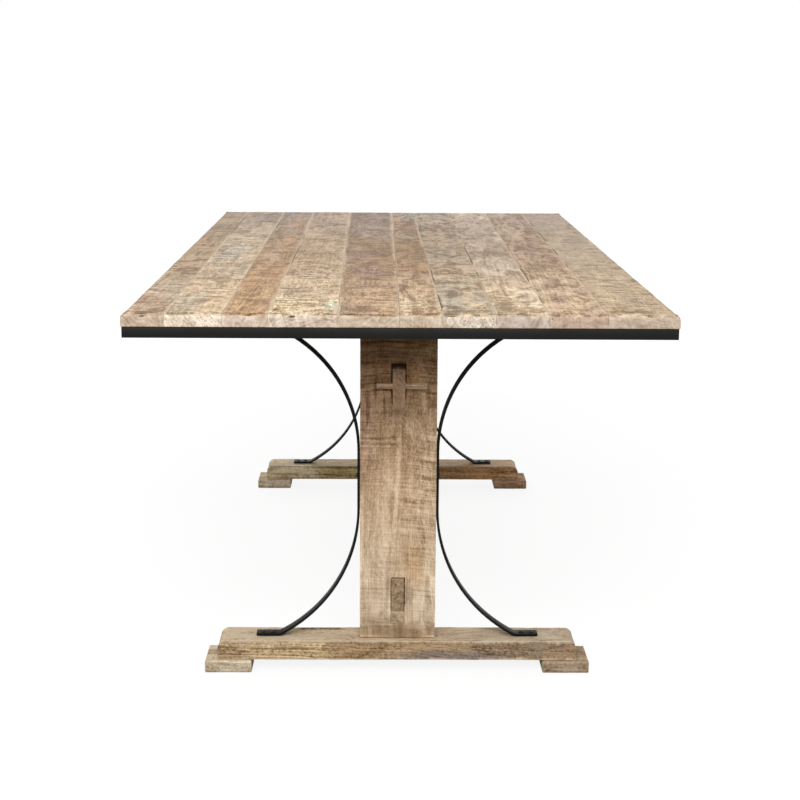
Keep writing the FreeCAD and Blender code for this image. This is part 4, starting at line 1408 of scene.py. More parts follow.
    def _mesh(self, work: Workpiece, lie: Lie) -> None:
        """Divide a board finely enough to be made uneven, and leave its underside whole.

        Args:
            work: The board.
            lie: Its place.
        """
        start = max(lie.front[0], lie.back[0]) + self.edge_margin
        stop = min(lie.front[1], lie.back[1]) - self.edge_margin
        count = max(2, round((stop - start) / self.cell_across))
        work.cut(0, [start + (stop - start) * part / count for part in range(count + 1)])
        stations = []
        place = lie.low.y + self.edge_margin
        while place < lie.high.y - self.edge_margin:
            stations.append(place)
            to_end = min(place - lie.low.y, lie.high.y - place)
            place += self.cell_along if to_end > self.end_zone else self.cell_along / 2
        work.cut(1, [*stations, lie.high.y - self.edge_margin])
        work.refine(3)
        work.edit()
        work.pick_faces(lambda middle, normal: normal.z < -0.999 and middle.z < lie.low.z + CLOSE)
        bpy.ops.mesh.dissolve_faces()
        work.leave()

    def _loosen(self, work: Workpiece, places: np.ndarray, outer: float | None,
                seed: float) -> None:
        """Let a board's joints wander, and wear its outer side if it has one.

        Args:
            work: The board.
            places: Its points.
            outer: Place of its outer side across the table.
            seed: Seed of its patterns.
        """
        joints = Unevenness((0.4, 0.12, 9.0), self.wander, "X", 0.5, 0.37)
        if outer is None:
            work.roughen([joints])
            return
        away = np.abs(places[:, 0] - outer)
        to_end = np.clip((-FRONT_END - np.abs(places[:, 1])) / 0.06, 0.0, 1.0)
        work.weigh("inner", np.clip((away - 0.01) / 0.04, 0.0, 1.0))
        work.weigh("outer", np.clip(1.0 - away / 0.03, 0.0, 1.0) * to_end)
        work.roughen([joints], "inner")
        work.roughen([Unevenness((9.0, 0.09, 0.06), self.outer_wear, "X",
                                 1.0 if outer > 0 else 0.0, seed)], "outer")

    def _soil(self, board: Board, places: np.ndarray, joint: np.ndarray,
              top: float) -> np.ndarray:
        """Dirt along parts of a board's left joint.

        Args:
            board: The board.
            places: Its points.
            joint: Place of the joint across the table, beside each point.
            top: Height of the board's top.

        Returns:
            The dirt at each point, from 0 to 1.
        """
        soil = np.zeros(len(places))
        near = np.clip(1.0 - (places[:, 0] - joint) / self.joint_dirt, 0.0, 1.0)
        for stretch in board.soiled:
            inside = np.minimum(places[:, 1] - min(stretch), max(stretch) - places[:, 1])
            soil = np.maximum(soil, near * np.clip(inside / self.dirt_fade, 0.0,
                                                   self.dirt_strength))
        return np.where(places[:, 2] > top - self.dirt_depth, soil, 0.0)


# ---- construction


@dataclass(frozen=True)
class Stretcher:
    """Sizes of the tenons of one of the two boards between the legs."""

    name: str
    tenon_thickness: float
    tenon_low: float
    tenon_high: float
    tenon_end: float
    nose: float = 0.0


@dataclass(frozen=True)
class Construction:
    """Sizes that several sub-assemblies share."""

    trestle_offset: float = 0.722
    leg_thickness: float = 0.045
    mortise_play: float = 0.001
    key_bottom: float = 0.5805
    key_height: float = 0.0095
    key_half: float = 0.0495
    key_shift: float = 0.006
    key_taper: float = 0.006
    key_play: float = 0.0001
    key_draw: float = 0.003
    slot_depth: float = 0.0185
    wedge_fall: float = 0.004

    @property
    def leg_front(self) -> float:
        """Middle of the table to the outer face of a leg."""
        return self.trestle_offset + self.leg_thickness / 2

    @property
    def leg_back(self) -> float:
        """Middle of the table to the inner face of a leg."""
        return self.trestle_offset - self.leg_thickness / 2


SHARED = Construction()
UPPER = Stretcher("upper_stretcher", 0.0245, 0.5475, 0.6255, 0.7965, 0.009)
LOWER = Stretcher("lower_stretcher", 0.0260, 0.1215, 0.1905, 0.7435)

LEG_FINISH = TimberFinish(
    tones=((226, 202, 172), (210, 181, 147), (166, 126, 90)),
    patch=(192, 158, 122), end=(190, 164, 136), grain=Grain.UPRIGHT, seed=71.3,
    contrast=1.1, saw=0.75, saw_bias=0.65, saw_pitch=0.0062, saw_reach=0.14, mottle=0.6,
    figure=0.3, speckle=0.5, speck_bias=0.6, speck_width=0.0028, speck_length=0.007, nicks=0.45,
    streak=0.1, rim=0.2, rim_width=0.003, pith=(0.05, -0.16),
    patches=(Patch(-0.06, 0.13, 0.06, 0.17, 0.6, (158, 124, 90)),
             Patch(0.045, 0.19, 0.03, 0.04, 0.45, (204, 170, 126)),
             Patch(0.03, -0.17, 0.03, 0.06, 0.45, (206, 164, 116)),
             Patch(-0.062, 0.10, 0.014, 0.12, 0.4, (188, 148, 126)),
             Patch(-0.02, -0.305, 0.14, 0.05, 0.85, (146, 120, 88)),
             Patch(0.022, -0.22, 0.012, 0.03, 0.5, (140, 112, 84)),
             Patch(-0.045, 0.20, 0.005, 0.04, 0.7, (98, 68, 46)),
             Patch(-0.062, 0.15, 0.005, 0.05, 0.7, (112, 80, 56)),
             Patch(-0.028, 0.16, 0.003, 0.03, 0.65, (104, 74, 50)),
             Patch(0.058, 0.17, 0.005, 0.05, 0.5, (118, 86, 58)),
             Patch(0.04, 0.31, 0.05, 0.05, 0.85, (200, 162, 114)),
             # Wide dark patch across the top of the leg: painted shadow of the tabletop.
             Patch(-0.06, 0.325, 0.22, 0.05, 0.6, (112, 78, 52))),
)
BEAM_FINISHES = {
    End.FRONT: TimberFinish(
        tones=((188, 160, 124), (176, 144, 106), (152, 130, 108)),
        patch=(170, 134, 92), shaded=(0.40, 0.33, 0.25), end=(190, 166, 136),
        grain=Grain.ACROSS, seed=83.1, contrast=1.3, saw=0.12, mottle=0.8, figure=0.9,
        ring_density=430.0, curl=0.05, speckle=0.75, speck_length=0.006, nicks=0.0, streak=0.3,
        blotch=0.6, dusting=0.40, rim=0.95, rim_width=0.006, pith=(0.01, -0.02),
        patches=(Patch(0.0, 0.10, 0.2, 0.12, 0.3, (138, 118, 96)),
                 Patch(0.0, 0.26, 0.2, 0.07, 0.4, (132, 110, 90)),
                 Patch(-0.042, -0.20, 0.03, 0.08, 0.85, (212, 184, 140)),
                 Patch(-0.042, -0.10, 0.03, 0.05, 0.45, (150, 120, 84)),
                 Patch(-0.042, 0.10, 0.03, 0.15, 0.7, (112, 102, 98), -0.013, 0.012),
                 Patch(-0.042, 0.24, 0.02, 0.07, 0.5, (150, 134, 114), 0.0, 0.018),
                 Patch(-0.042, -0.35, 0.03, 0.04, 0.5, (140, 106, 76), -0.012, 0.012)),
    ),
    End.BACK: TimberFinish(
        tones=((212, 192, 156), (202, 172, 134), (192, 152, 112)),
        patch=(176, 150, 108), shaded=(0.40, 0.33, 0.25), end=(200, 178, 148),
        grain=Grain.ACROSS, seed=95.1, saw=0.12, mottle=0.7, figure=0.7, curl=0.05, speckle=0.6,
        speck_length=0.008, nicks=0.0, streak=0.3, blotch=0.6, dusting=0.3, pith=(0.01, -0.03),
        patches=(Patch(-0.042, -0.14, 0.04, 0.10, 0.6, (166, 144, 84)),
                 Patch(-0.042, 0.14, 0.04, 0.10, 0.6, (156, 104, 58)),
                 Patch(-0.042, 0.27, 0.04, 0.08, 0.5, (182, 126, 76))),
    ),
}
BLOCK_FINISH = TimberFinish(
    patch=(182, 160, 130), end=(198, 176, 146), grain=Grain.ACROSS, seed=91.7,
    saw=0.25, saw_pitch=0.008, mottle=0.5, figure=0.55, curl=0.04, speckle=0.5,
    speck_length=0.006, nicks=0.15, streak=0.15, rim=0.4, rim_width=0.004, pith=(0.03, -0.03),
)
BLOCK_TONES = {
    (End.FRONT, Side.LEFT): (212, 195, 167),
    (End.FRONT, Side.RIGHT): (148, 121, 98),
    (End.BACK, Side.LEFT): (198, 180, 152),
    (End.BACK, Side.RIGHT): (166, 128, 100),
}
UPPER_FINISH = TimberFinish(
    tones=((192, 162, 132),) * 3,
    patch=(170, 138, 106), end=(172, 138, 110), seed=101.9, side_contrast=0.75,
    saw=0.35, saw_pitch=0.007, figure=0.3, nicks=0.35, streak=0.4, rim=0.25, rim_width=0.003,
    pith=(0.01, -0.03),
)
LOWER_FINISH = replace(UPPER_FINISH, end=(172, 146, 113), seed=108.9, contrast=2.0,
                       side_contrast=0.45, end_slant=-0.4, scrawl=0.6)
KEY_FINISH = TimberFinish(
    tones=((200, 168, 138), (214, 184, 154), (250, 226, 198)),
    patch=(206, 176, 146), end=(196, 170, 142), grain=Grain.ACROSS, seed=113.3,
    saw=0.1, saw_pitch=0.004, mottle=0.4, streak=0.4, rim=0.2, rim_width=0.0015,
    pith=(0.01, -0.012),
)
WEDGE_FINISH = TimberFinish(
    tones=((192, 164, 132),) * 3,
    patch=(176, 148, 116), end=(190, 164, 132), seed=121.7, saw=0.2,
    saw_pitch=0.004, rim=0.2, rim_width=0.0015, pith=(0.01, -0.012),
)
IRON_FINISH = BlackMetalFinish(colour=(13, 13, 11), dust=(34, 30, 24))
# The frame's top carries the brown band of painted shadow and reflected wood from under the boards.
FRAME_FINISH = BlackMetalFinish(colour=(26, 27, 25), dust=(40, 36, 30),
                                painted_shadow_top=0.7405)
SCREW_FINISH = BlackMetalFinish(colour=(52, 50, 48), dust=(110, 104, 96), bright=0.32,
                                dull=0.5, peel=0.00004)


# ---- trestles


@dataclass
class Trestle:
    """One end's leg, beams and blocks."""

    end: End
    seed: float = 0.0
    cell: float = 0.03
    stub_width: float = 0.100
    stub_thickness: float = 0.016
    stub_depth: float = 0.028
    stub_play: float = 0.0006
    leg_round: float = 0.0015
    end_round: float = 0.018
    long_round: float = 0.004
    base_round: float = 0.0025
    block_round: float = 0.003
    strip_middle: float = -0.155
    strip_reach: float = 0.096
    strip_fade: float = 0.06
    strip_width: float = 0.0182
    strip_blur: float = 0.007
    strip_depth: float = 0.006
    strip_strength: float = 0.55

    def build(self) -> None:
        """Make all pieces of the trestle."""
        self._leg()
        self._beam("foot_beam", upside_down=False)
        self._beam("head_beam", upside_down=True)
        for side in Side:
            self._block(side)

    def _stubs(self, work: Workpiece, levels: Mapping[float, int], play: float = 0.0) -> None:
        """Draw the leg's stub tenons out of level faces, or sink a mortise for one.

        Args:
            work: The leg, or a beam.
            levels: Heights of the faces, and 1 or -1 for the way up or down from each.
            play: How much larger a mortise is than the stub.
        """
        centre = (work.low + work.high) / 2
        half_width, half_depth = (self.stub_width + play) / 2, (self.stub_thickness + play) / 2
        work.cut(0, [-half_width, half_width])
        work.cut(1, [centre.y - half_depth, centre.y + half_depth])
        for level, way in levels.items():
            work.extrude(lambda middle, normal, z=level: abs(middle.z - z) < SAME
                         and abs(middle.x) < half_width
                         and abs(middle.y - centre.y) < half_depth,
                         Z_AXIS * way * (self.stub_depth + play))

    def _leg(self) -> None:
        """Upright board with stub tenons and a mortise for each stretcher."""
        node = f"leg_{self.end.word}"
        low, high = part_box(node)
        low.z += self.stub_depth
        high.z -= self.stub_depth
        work = Workpiece(f"{self.end.word}_leg_board", low, high)
        work.bevel(lambda middle, way: abs(way.z) > PARALLEL, self.leg_round, 2)
        self._stubs(work, {low.z: -1, high.z: 1})

        play = SHARED.mortise_play
        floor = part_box(f"lower_wedge_{self.end.word}")[0].z
        for board, bottom in ((UPPER, UPPER.tenon_low - play), (LOWER, floor)):
            half, top = board.tenon_thickness / 2 + play, board.tenon_high + play
            work.cut(0, [-half, half])
            work.cut(2, [bottom, top])
            work.pierce(1, lambda middle, h=half, b=bottom, t=top:
                        abs(middle.x) < h and b < middle.z < t
                        and min(middle.y - low.y, high.y - middle.y) < CLOSE)
        work.divide(self.cell, 0, 2)
        work.refine(3)
        finish = LEG_FINISH.reseeded(self.seed)
        work.dress(finish, [
            Unevenness((0.08, 0.3, 0.2), 0.0006, seed=finish.seed),
            Unevenness((0.06, 0.06, 0.008), 0.0006, seed=finish.seed + 2),
        ], node, dirt_and_shade=self._grime(work.points(), floor))

    def _grime(self, places: np.ndarray, floor: float) -> np.ndarray:
        """Dirt and painted shade round the mouths of a leg's mortises, and painted shadow round its
        key.

        Args:
            places: Points of the leg.
            floor: Height of the lower mortise's floor.

        Returns:
            The dirt and painted shade at each point, from 0 to 1.
        """
        play = SHARED.mortise_play
        dirt_and_shade = np.zeros(len(places))
        # Mortise rows: dirt and painted shade in the gaps round the tenons; key row: the key's
        # painted shadow on the leg.
        for middle, half, low, high, reach, strength in (
            (0.0, UPPER.tenon_thickness / 2 + play, UPPER.tenon_low + 0.012,
             UPPER.tenon_high + play, 0.0036, 1.0),
            (0.001, LOWER.tenon_thickness / 2 + play - 0.001, floor + 0.04,
             LOWER.tenon_high + play, 0.0026, 0.75),
            (-self.end.value * SHARED.key_shift, SHARED.key_half, SHARED.key_bottom,
             SHARED.key_bottom + SHARED.key_height, 0.0030, 0.4),
        ):
            aside = np.maximum(np.abs(places[:, 0] - middle) - half, 0.0)
            above = np.maximum(np.maximum(low - places[:, 2], places[:, 2] - high), 0.0)
            close = 1.0 - np.hypot(aside, above) / reach
            dirt_and_shade = np.maximum(dirt_and_shade, np.clip(close, 0.0, 1.0) * strength)
        return dirt_and_shade

    def _beam(self, name: str, upside_down: bool) -> None:
        """Foot or head beam with rounded ends and a mortise for the leg's stub.

        Args:
            name: Name of the beam without its end.
            upside_down: Whether the leg's side is underneath.
        """
        node = f"{name}_{self.end.word}"
        low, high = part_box(node)
        leg_side, far_side = (low.z, high.z) if upside_down else (high.z, low.z)
        work = Workpiece(f"{self.end.word}_{name}_timber", low, high)
        for axis, width, segments in ((1, self.end_round, 6), (0, self.long_round, 3)):
            work.bevel(lambda middle, way, a=axis: abs(way[a]) > PARALLEL
                       and abs(middle.z - leg_side) < SAME, width, segments)
        work.bevel(lambda middle, way: abs(middle.z - far_side) < SAME, self.base_round, 2)
        self._stubs(work, {leg_side: 1 if upside_down else -1}, self.stub_play)
        work.divide(self.cell, 0, 1)
        work.refine(3)
        finish = BEAM_FINISHES[self.end].reseeded(3.0 if upside_down else 0.0)
        strip_darkened = self.end is End.FRONT and not upside_down
        work.dress(finish, [
            Unevenness((0.16, 0.06, 0.06), 0.0022, seed=finish.seed),
            Unevenness((0.03, 0.02, 0.02), 0.0008, seed=finish.seed + 2),
        ], node, dirt_and_shade=self._strip(work.points(), high) if strip_darkened else None)

    def _strip(self, places: np.ndarray, high: Vector) -> np.ndarray:
        """Darker strip along the back of a foot beam's top, left of the leg.

        Args:
            places: Points of the beam.
            high: Highest corner of the beam.

        Returns:
            How much the strip darkens each point, from 0 to 1.
        """
        behind = np.clip((places[:, 1] - high.y + self.strip_width) / self.strip_blur, 0.0, 1.0)
        aside = np.abs(places[:, 0] - self.strip_middle)
        nearby = np.clip((self.strip_reach - aside) / self.strip_fade, 0.0, 1.0)
        return np.where(places[:, 2] > high.z - self.strip_depth,
                        behind * nearby * self.strip_strength, 0.0)

    def _block(self, side: Side) -> None:
        """Block under one end of the foot beam.

        Args:
            side: Side of the table.
        """
        node = f"foot_block_{self.end.word}_{side.word}"
        work = Workpiece(f"{self.end.word}_{side.word}_foot_pad", *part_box(node))
        work.bevel_all(self.block_round)
        work.divide(self.cell, 0, 1)
        work.refine(3)
        tone = BLOCK_TONES[self.end, side]
        finish = replace(BLOCK_FINISH, tones=(tone,) * 3,
                         seed=BLOCK_FINISH.seed + self.seed + 5.0 * side.value)
        layer = Unevenness((0.03, 0.05, 0.05), 0.0009, seed=finish.seed)
        work.dress(finish, [layer], node)


@dataclass
class Stretchers:
    """The two boards between the trestles, with the loose keys and the fixed wedges."""

    board_round: float = 0.0015
    end_round: float = 0.0012
    key_round: float = 0.001
    wedge_round: float = 0.0008
    wedge_fill: float = 0.0009
    cell: float = 0.045
    small_cell: float = 0.009
    # Painted shade on the tenons: where it starts and how far it runs on their tops, and the band of
    # painted shadow round the upper tenon's end.
    tenon_shade_start: float = -0.004
    tenon_shade_run: float = 0.09
    shade_start: float = 0.01
    shade_height: float = 0.018
    shade_strength: float = 0.42

    def build(self) -> None:
        """Make the boards, keys and wedges."""
        self._board(UPPER, UPPER_FINISH)
        self._board(LOWER, LOWER_FINISH)
        for end in End:
            self._key(end)
            self._wedge(end)

    def _board(self, board: Stretcher, finish: TimberFinish) -> None:
        """Board with a tenon at each end.

        Args:
            board: Its sizes.
            finish: Its finish.
        """

        def outlines(middle: Vector) -> bool:
            """Tell whether an edge is on the outline of a tenon's end, not inside it.

            Args:
                middle: Middle of the edge.

            Returns:
                Whether the edge is on the outline.
            """
            return (abs(middle.x) > half - SAME
                    or middle.z > board.tenon_high - SAME
                    or middle.z < board.tenon_low + SAME
                    or (middle.z < board.tenon_low + board.nose
                        and abs(middle.x) > half - max(board.nose, SAME)))

        low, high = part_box(board.name)
        shoulder, half = SHARED.leg_back, board.tenon_thickness / 2
        low.y, high.y = -shoulder, shoulder
        work = Workpiece(f"{board.name}_board", low, high)
        work.bevel(lambda middle, way: abs(way.y) > PARALLEL, self.board_round, 2)
        work.cut(0, [-half, half])
        work.cut(2, [board.tenon_low, board.tenon_high])
        for end in End:
            work.extrude(lambda middle, normal, y=end.value * shoulder: abs(middle.y - y) < SAME
                         and abs(middle.x) < half
                         and board.tenon_low < middle.z < board.tenon_high,
                         Y_AXIS * end.value * (board.tenon_end - shoulder))
        if board.nose:
            work.bevel(lambda middle, way: abs(way.y) > PARALLEL
                       and abs(middle.z - board.tenon_low) < SAME
                       and abs(abs(middle.x) - half) < SAME
                       and abs(middle.y) > shoulder, board.nose, 6)
            self._slots(work, half)
        work.bevel(lambda middle, way: abs(abs(middle.y) - board.tenon_end) < SAME
                   and abs(way.y) < 0.1 and outlines(middle), self.end_round, 2)
        work.divide(self.cell, 1)
        work.refine(2)
        layer = Unevenness((0.05, 0.2, 0.05), 0.0007, seed=finish.seed)
        work.dress(finish, [layer], board.name,
                   dirt_and_shade=self._dust(work.points(), board))

    def _dust(self, places: np.ndarray, board: Stretcher) -> np.ndarray:
        """Painted shade on the tenons' tops, darkest beside the leg, and painted shadow round the
        end of the upper one.

        Args:
            places: Points of the board.
            board: Its sizes.

        Returns:
            The dirt at each point, from 0 to 1.
        """
        # The value called dust below is painted shade on a tenon's top, darkest where it meets the
        # leg.
        proud = np.abs(places[:, 1]) - SHARED.leg_front
        top = (places[:, 2] > board.tenon_high - CLOSE) & (proud > self.tenon_shade_start)
        dust = np.where(top, np.clip(1.0 - proud / self.tenon_shade_run, 0.0, 1.0), 0.0)
        if board is LOWER:
            return dust
        shaded = (proud > self.shade_start) & (places[:, 2] > board.tenon_high - self.shade_height)
        return np.maximum(dust, np.where(shaded, self.shade_strength, 0.0))

    def _slots(self, work: Workpiece, half: float) -> None:
        """Slots for the keys.

        Args:
            work: The upper board.
            half: Half the thickness of its tenons.
        """
        inner = SHARED.leg_front - SHARED.key_draw
        outer = SHARED.leg_front + 2 * SHARED.key_play + SHARED.slot_depth
        bottom = SHARED.key_bottom - SHARED.key_play
        top = SHARED.key_bottom + SHARED.key_height + SHARED.key_play
        work.cut(2, [bottom, top])
        for end in End:
            work.cut(1, [end.value * inner, end.value * outer])
            work.pierce(0, lambda middle, way=end.value:
                        inner < middle.y * way < outer and bottom < middle.z < top
                        and abs(abs(middle.x) - half) < CLOSE)

    def _key(self, end: End) -> None:
        """Loose key, thinner at one end.

        Args:
            end: Trestle that it locks.
        """
        node = f"key_{end.word}"
        low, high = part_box(node)
        middle, way = (low + high) / 2, end.value
        work = Workpiece(f"{end.word}_locking_key", low, high)
        work.move(lambda point: (point.y - middle.y) * way > 0 and (point.x - middle.x) * way > 0,
                  Y_AXIS * -way * SHARED.key_taper)
        work.bevel_all(self.key_round)
        work.divide(self.small_cell, 0)
        work.refine(2)
        finish = KEY_FINISH.reseeded(2.0 * way)
        layer = Unevenness((0.02, 0.01, 0.01), 0.0005, seed=finish.seed)
        work.dress(finish, [layer], node, "key_wood", f"{end.word}_key")

    def _wedge(self, end: End) -> None:
        """Wedge under a lower tenon, thinner towards the inside.

        Args:
            end: Trestle that it is in.
        """
        node = f"lower_wedge_{end.word}"
        low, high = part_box(node)
        low.x -= self.wedge_fill
        high.x += self.wedge_fill
        middle, way = (low + high) / 2, end.value
        work = Workpiece(f"{end.word}_tenon_wedge", low, high)
        work.move(lambda point: (point.y - middle.y) * way < 0 and point.z > middle.z,
                  Z_AXIS * -SHARED.wedge_fall)
        work.bevel_all(self.wedge_round)
        work.divide(self.small_cell, 0, 1)
        work.refine(2)
        finish = WEDGE_FINISH.reseeded(2.0 * way)
        layer = Unevenness((0.01, 0.02, 0.01), 0.0004, seed=finish.seed)
        work.dress(finish, [layer], node)


# ---- iron and steel


@dataclass
class Ironwork:
    """Bowed braces with their screws, the frame under the boards and the hidden fasteners."""

    brace_thickness: float = 0.005
    brace_width: float = 0.025
    brace_bend: float = 0.237
    brace_tip: float = 0.284
    brace_low: float = 0.330
    brace_high: float = 0.449
    leg_half: float = 0.076
    foot_top: float = 0.066
    head_bottom: float = 0.698
    arc_steps: int = 24
    iron_round: float = 0.0008
    steel_round: float = 0.0006
    screw_rows: tuple[float, float] = (0.252, 0.272)
    side_screw: float = 0.398
    head_radius: float = 0.0045
    head_height: float = 0.003
    shank_radius: float = 0.0023
    screw_length: float = 0.027
    slot_width: float = 0.0011
    first_twist: float = 0.7
    next_twist: float = 1.9

    def build(self, nodes: Mapping[str, bpy.types.Object]) -> None:
        """Make the braces and their screws, and dress the steel.

        Args:
            nodes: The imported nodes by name.
        """
        self._braces(IRON_FINISH.material("brace_iron"))
        self._brace_screws(SCREW_FINISH.material("brace_screw_black"))
        frame = FRAME_FINISH.material("frame_steel")
        zinc = ZincFinish().material("fastener_zinc")
        for name, node in nodes.items():
            if name.startswith(("frame_", "crossbar_")):
                self._steel_length(node, frame)
            elif name.endswith("_pins"):
                self._carry(node, SCREW_FINISH.material("wedge_pin_steel"))
            elif "screws" in name or "bolts" in name:
                self._carry(node, zinc)

    def _braces(self, material: bpy.types.Material) -> None:
        """Model the left-hand brace once and set a copy in each of the four places.

        Args:
            material: Finish of the braces.
        """
        half = self.brace_width / 2
        outer = -(self.leg_half + self.brace_thickness)
        work = Workpiece("bowed_iron", Vector((outer, -half, self.brace_low)),
                         Vector((-self.leg_half, half, self.brace_high)))
        self._tab(work, self.brace_low, self.foot_top, 1)
        self._tab(work, self.brace_high, self.head_bottom, -1)
        work.merge_doubles()
        bpy.ops.mesh.normals_make_consistent(inside=False)
        work.soften(self.iron_round, 50)
        for end in End:
            for side in Side:
                self._set_brace(work.piece, end, side, material)
        bpy.data.objects.remove(work.piece)

    def _tab(self, work: Workpiece, start: float, face: float, inward: int) -> None:
        """Spin the iron's end along its bow, then draw it out as a level tab.

        Args:
            work: The brace.
            start: Height at which the bow leaves the leg.
            face: Height of the beam's face that the tab lies on.
            inward: 1 if the tab lies above that face, -1 if below.
        """
        half = self.brace_thickness / 2
        middle = -(self.leg_half + half)
        run = middle + self.brace_bend
        rise = abs(start - face) - half
        radius = (run * run + rise * rise) / (2 * run)
        centre = Vector((middle - radius, 0.0, start))
        angle = math.asin(rise / radius)
        slope = Vector((math.cos(angle), 0.0, -inward * math.sin(angle)))
        work.pick_faces(lambda middle, normal: abs(middle.z - start) < SAME
                        and abs(normal.z) > PARALLEL)
        bpy.ops.mesh.spin(steps=self.arc_steps, angle=-angle * inward, center=centre,
                          axis=(0.0, 1.0, 0.0))
        ends = []
        for reach, height in ((radius + half, face),
                              (radius - half, face + inward * self.brace_thickness)):
            across = centre.x + math.sqrt(reach * reach - (start - height) ** 2)
            ends.append(Vector((across, 0.0, height)))
            corner = centre + slope * reach
            work.move(lambda point, at=corner: (point.xz - at.xz).length < CLOSE / 2,
                      ends[-1] - corner)
        end = (ends[0] + ends[1]) / 2
        work.extrude(lambda middle, normal: (middle - end).length < CLOSE,
                     X_AXIS * (-self.brace_tip - end.x))
        bpy.ops.transform.resize(value=(0.0, 1.0, 1.0),
                                 center_override=(-self.brace_tip, 0.0, 0.0))

    def _set_brace(self, source: bpy.types.Object, end: End, side: Side,
                   material: bpy.types.Material) -> None:
        """Copy the brace with its own mesh, put the copy in its place and deliver it.

        Args:
            source: The left-hand brace.
            end: Trestle of the copy.
            side: Side of the copy, which is mirrored on the right.
            material: Its finish.
        """
        bpy.ops.object.select_all(action="DESELECT")
        source.select_set(True)
        bpy.context.view_layer.objects.active = source
        bpy.ops.object.duplicate()
        piece = bpy.context.object
        piece.name = f"{end.word}_{side.word}_bowed_iron"
        bpy.ops.object.mode_set(mode="EDIT")
        bpy.ops.mesh.select_all(action="SELECT")
        if side is Side.RIGHT:
            bpy.ops.transform.resize(value=(-1.0, 1.0, 1.0), center_override=(0.0, 0.0, 0.0))
            bpy.ops.mesh.normals_make_consistent(inside=False)
        bpy.ops.transform.translate(value=Y_AXIS * end.value * SHARED.trestle_offset)
        bpy.ops.object.mode_set(mode="OBJECT")
        Workpiece.around(piece).deliver("root", "brace_iron", material,
                                        f"brace_{end.word}_{side.word}")

    def _screw(self) -> bpy.types.Object:
        """Round-headed slotted screw that points down from the origin.

        Returns:
            The screw.
        """
        bpy.ops.object.select_all(action="DESELECT")
        bpy.ops.mesh.primitive_cylinder_add(vertices=32, radius=self.head_radius,
                                            depth=self.head_height,
                                            location=(0.0, 0.0, self.head_height / 2))
        screw = bpy.context.object
        bpy.ops.object.transform_apply(location=True, rotation=True, scale=True)
        work = Workpiece.around(screw)
        work.edit()
        work.bevel(lambda middle, way: abs(way.z) < 0.1 and middle.z > self.head_height * 0.9,
                   self.head_height * 0.75, 6)
        work.pick_faces(lambda middle, normal: normal.z < -PARALLEL)
        bpy.ops.mesh.inset(thickness=self.head_radius - self.shank_radius)
        for share in (0.8, 0.2):
            bpy.ops.mesh.extrude_region_move(
                TRANSFORM_OT_translate={"value": Z_AXIS * -self.screw_length * share})
        bpy.ops.transform.resize(value=(0.1, 0.1, 1.0))
        work.leave()
        corner = Vector((self.head_radius * 1.2, self.slot_width / 2, self.head_height * 1.5))
        cutter = Workpiece("slot_cutter", Vector((-corner.x, -corner.y, self.head_height * 0.55)),
                           corner)
        cutter.leave()
        work.apply("BOOLEAN", operation="DIFFERENCE", solver="EXACT", object=cutter.piece)
        bpy.data.objects.remove(cutter.piece)
        return screw

    def _brace_screws(self, material: bpy.types.Material) -> None:
        """Set a copy of the screw at each of its places.

        Args:
            material: Finish of the screws.
        """
        screw = self._screw()
        levels = ((self.foot_top + self.brace_thickness, 0.0),
                  (self.head_bottom - self.brace_thickness, math.pi))
        for end in End:
            copies = []
            for way in (side.value for side in Side):
                spots = [(way * row, level, turn) for level, turn in levels
                         for row in self.screw_rows]
                spots.append((way * (self.leg_half + self.brace_thickness), self.side_screw,
                              way * math.pi / 2))
                for number, (across, height, turn) in enumerate(spots):
                    place = Vector((across, end.value * SHARED.trestle_offset, height))
                    twist = self.first_twist + self.next_twist * number + way
                    copy = screw.copy()
                    copy.data = screw.data.copy()
                    copy.data.transform(Matrix.Translation(place) @ Matrix.Rotation(turn, 4, "Y")
                                        @ Matrix.Rotation(twist, 4, "Z"))
                    bpy.context.scene.collection.objects.link(copy)
                    copies.append(copy)
            bpy.ops.object.select_all(action="DESELECT")
            for copy in copies:
                copy.select_set(True)
            bpy.context.view_layer.objects.active = copies[0]
            bpy.ops.object.join()
            piece = bpy.context.object
            piece.name = f"{end.word}_brace_screw_set"
            Workpiece.around(piece).deliver("root", "black_screw", material,
                                            f"brace_screws_{end.word}")
        bpy.data.objects.remove(screw)

    def _steel_length(self, node: bpy.types.Object, material: bpy.types.Material) -> None:
        """Copy a length of the frame and soften its edges.

        Args:
            node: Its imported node.
            material: Its finish.
        """
        bpy.ops.object.select_all(action="DESELECT")
        piece = bpy.data.objects.new(f"{node.name}_angle", node.data.copy())
        bpy.context.scene.collection.objects.link(piece)
        piece.data.materials.clear()
        work = Workpiece.around(piece)
        work.edit()
        work.merge_doubles()
        bpy.ops.mesh.dissolve_limited(angle_limit=math.radians(1.0))
        work.soften(self.steel_round, 60)
        work.deliver("root", "frame_steel", material, node.name)

    def _carry(self, node: bpy.types.Object, material: bpy.types.Material) -> None:
        """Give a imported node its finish.

        Args:
            node: The node.
            material: Its finish.
        """
        if not node.material_slots:
            node.data.materials.append(material)
        for slot in node.material_slots:
            slot.material = material
        LOG.info("%s: packed mesh, dressed", node.name)


# ---- studio


@dataclass(frozen=True)
class Lamp:
    """Soft rectangular lamp: its place, what it points at, its sides and its power in watts."""

    name: str
    place: Triple
    target: Triple
    width: float
    height: float
    power: float

    def build(self) -> None:
        """Set the lamp up."""
        bpy.ops.object.light_add(type="AREA", location=self.place)
        lamp = bpy.context.object
        lamp.name = self.name
        way = Vector(self.target) - Vector(self.place)
        lamp.rotation_euler = way.to_track_quat("-Z", "Y").to_euler()
        lamp.data.shape = "RECTANGLE"
        lamp.data.size = self.width
        lamp.data.size_y = self.height
        lamp.data.energy = self.power


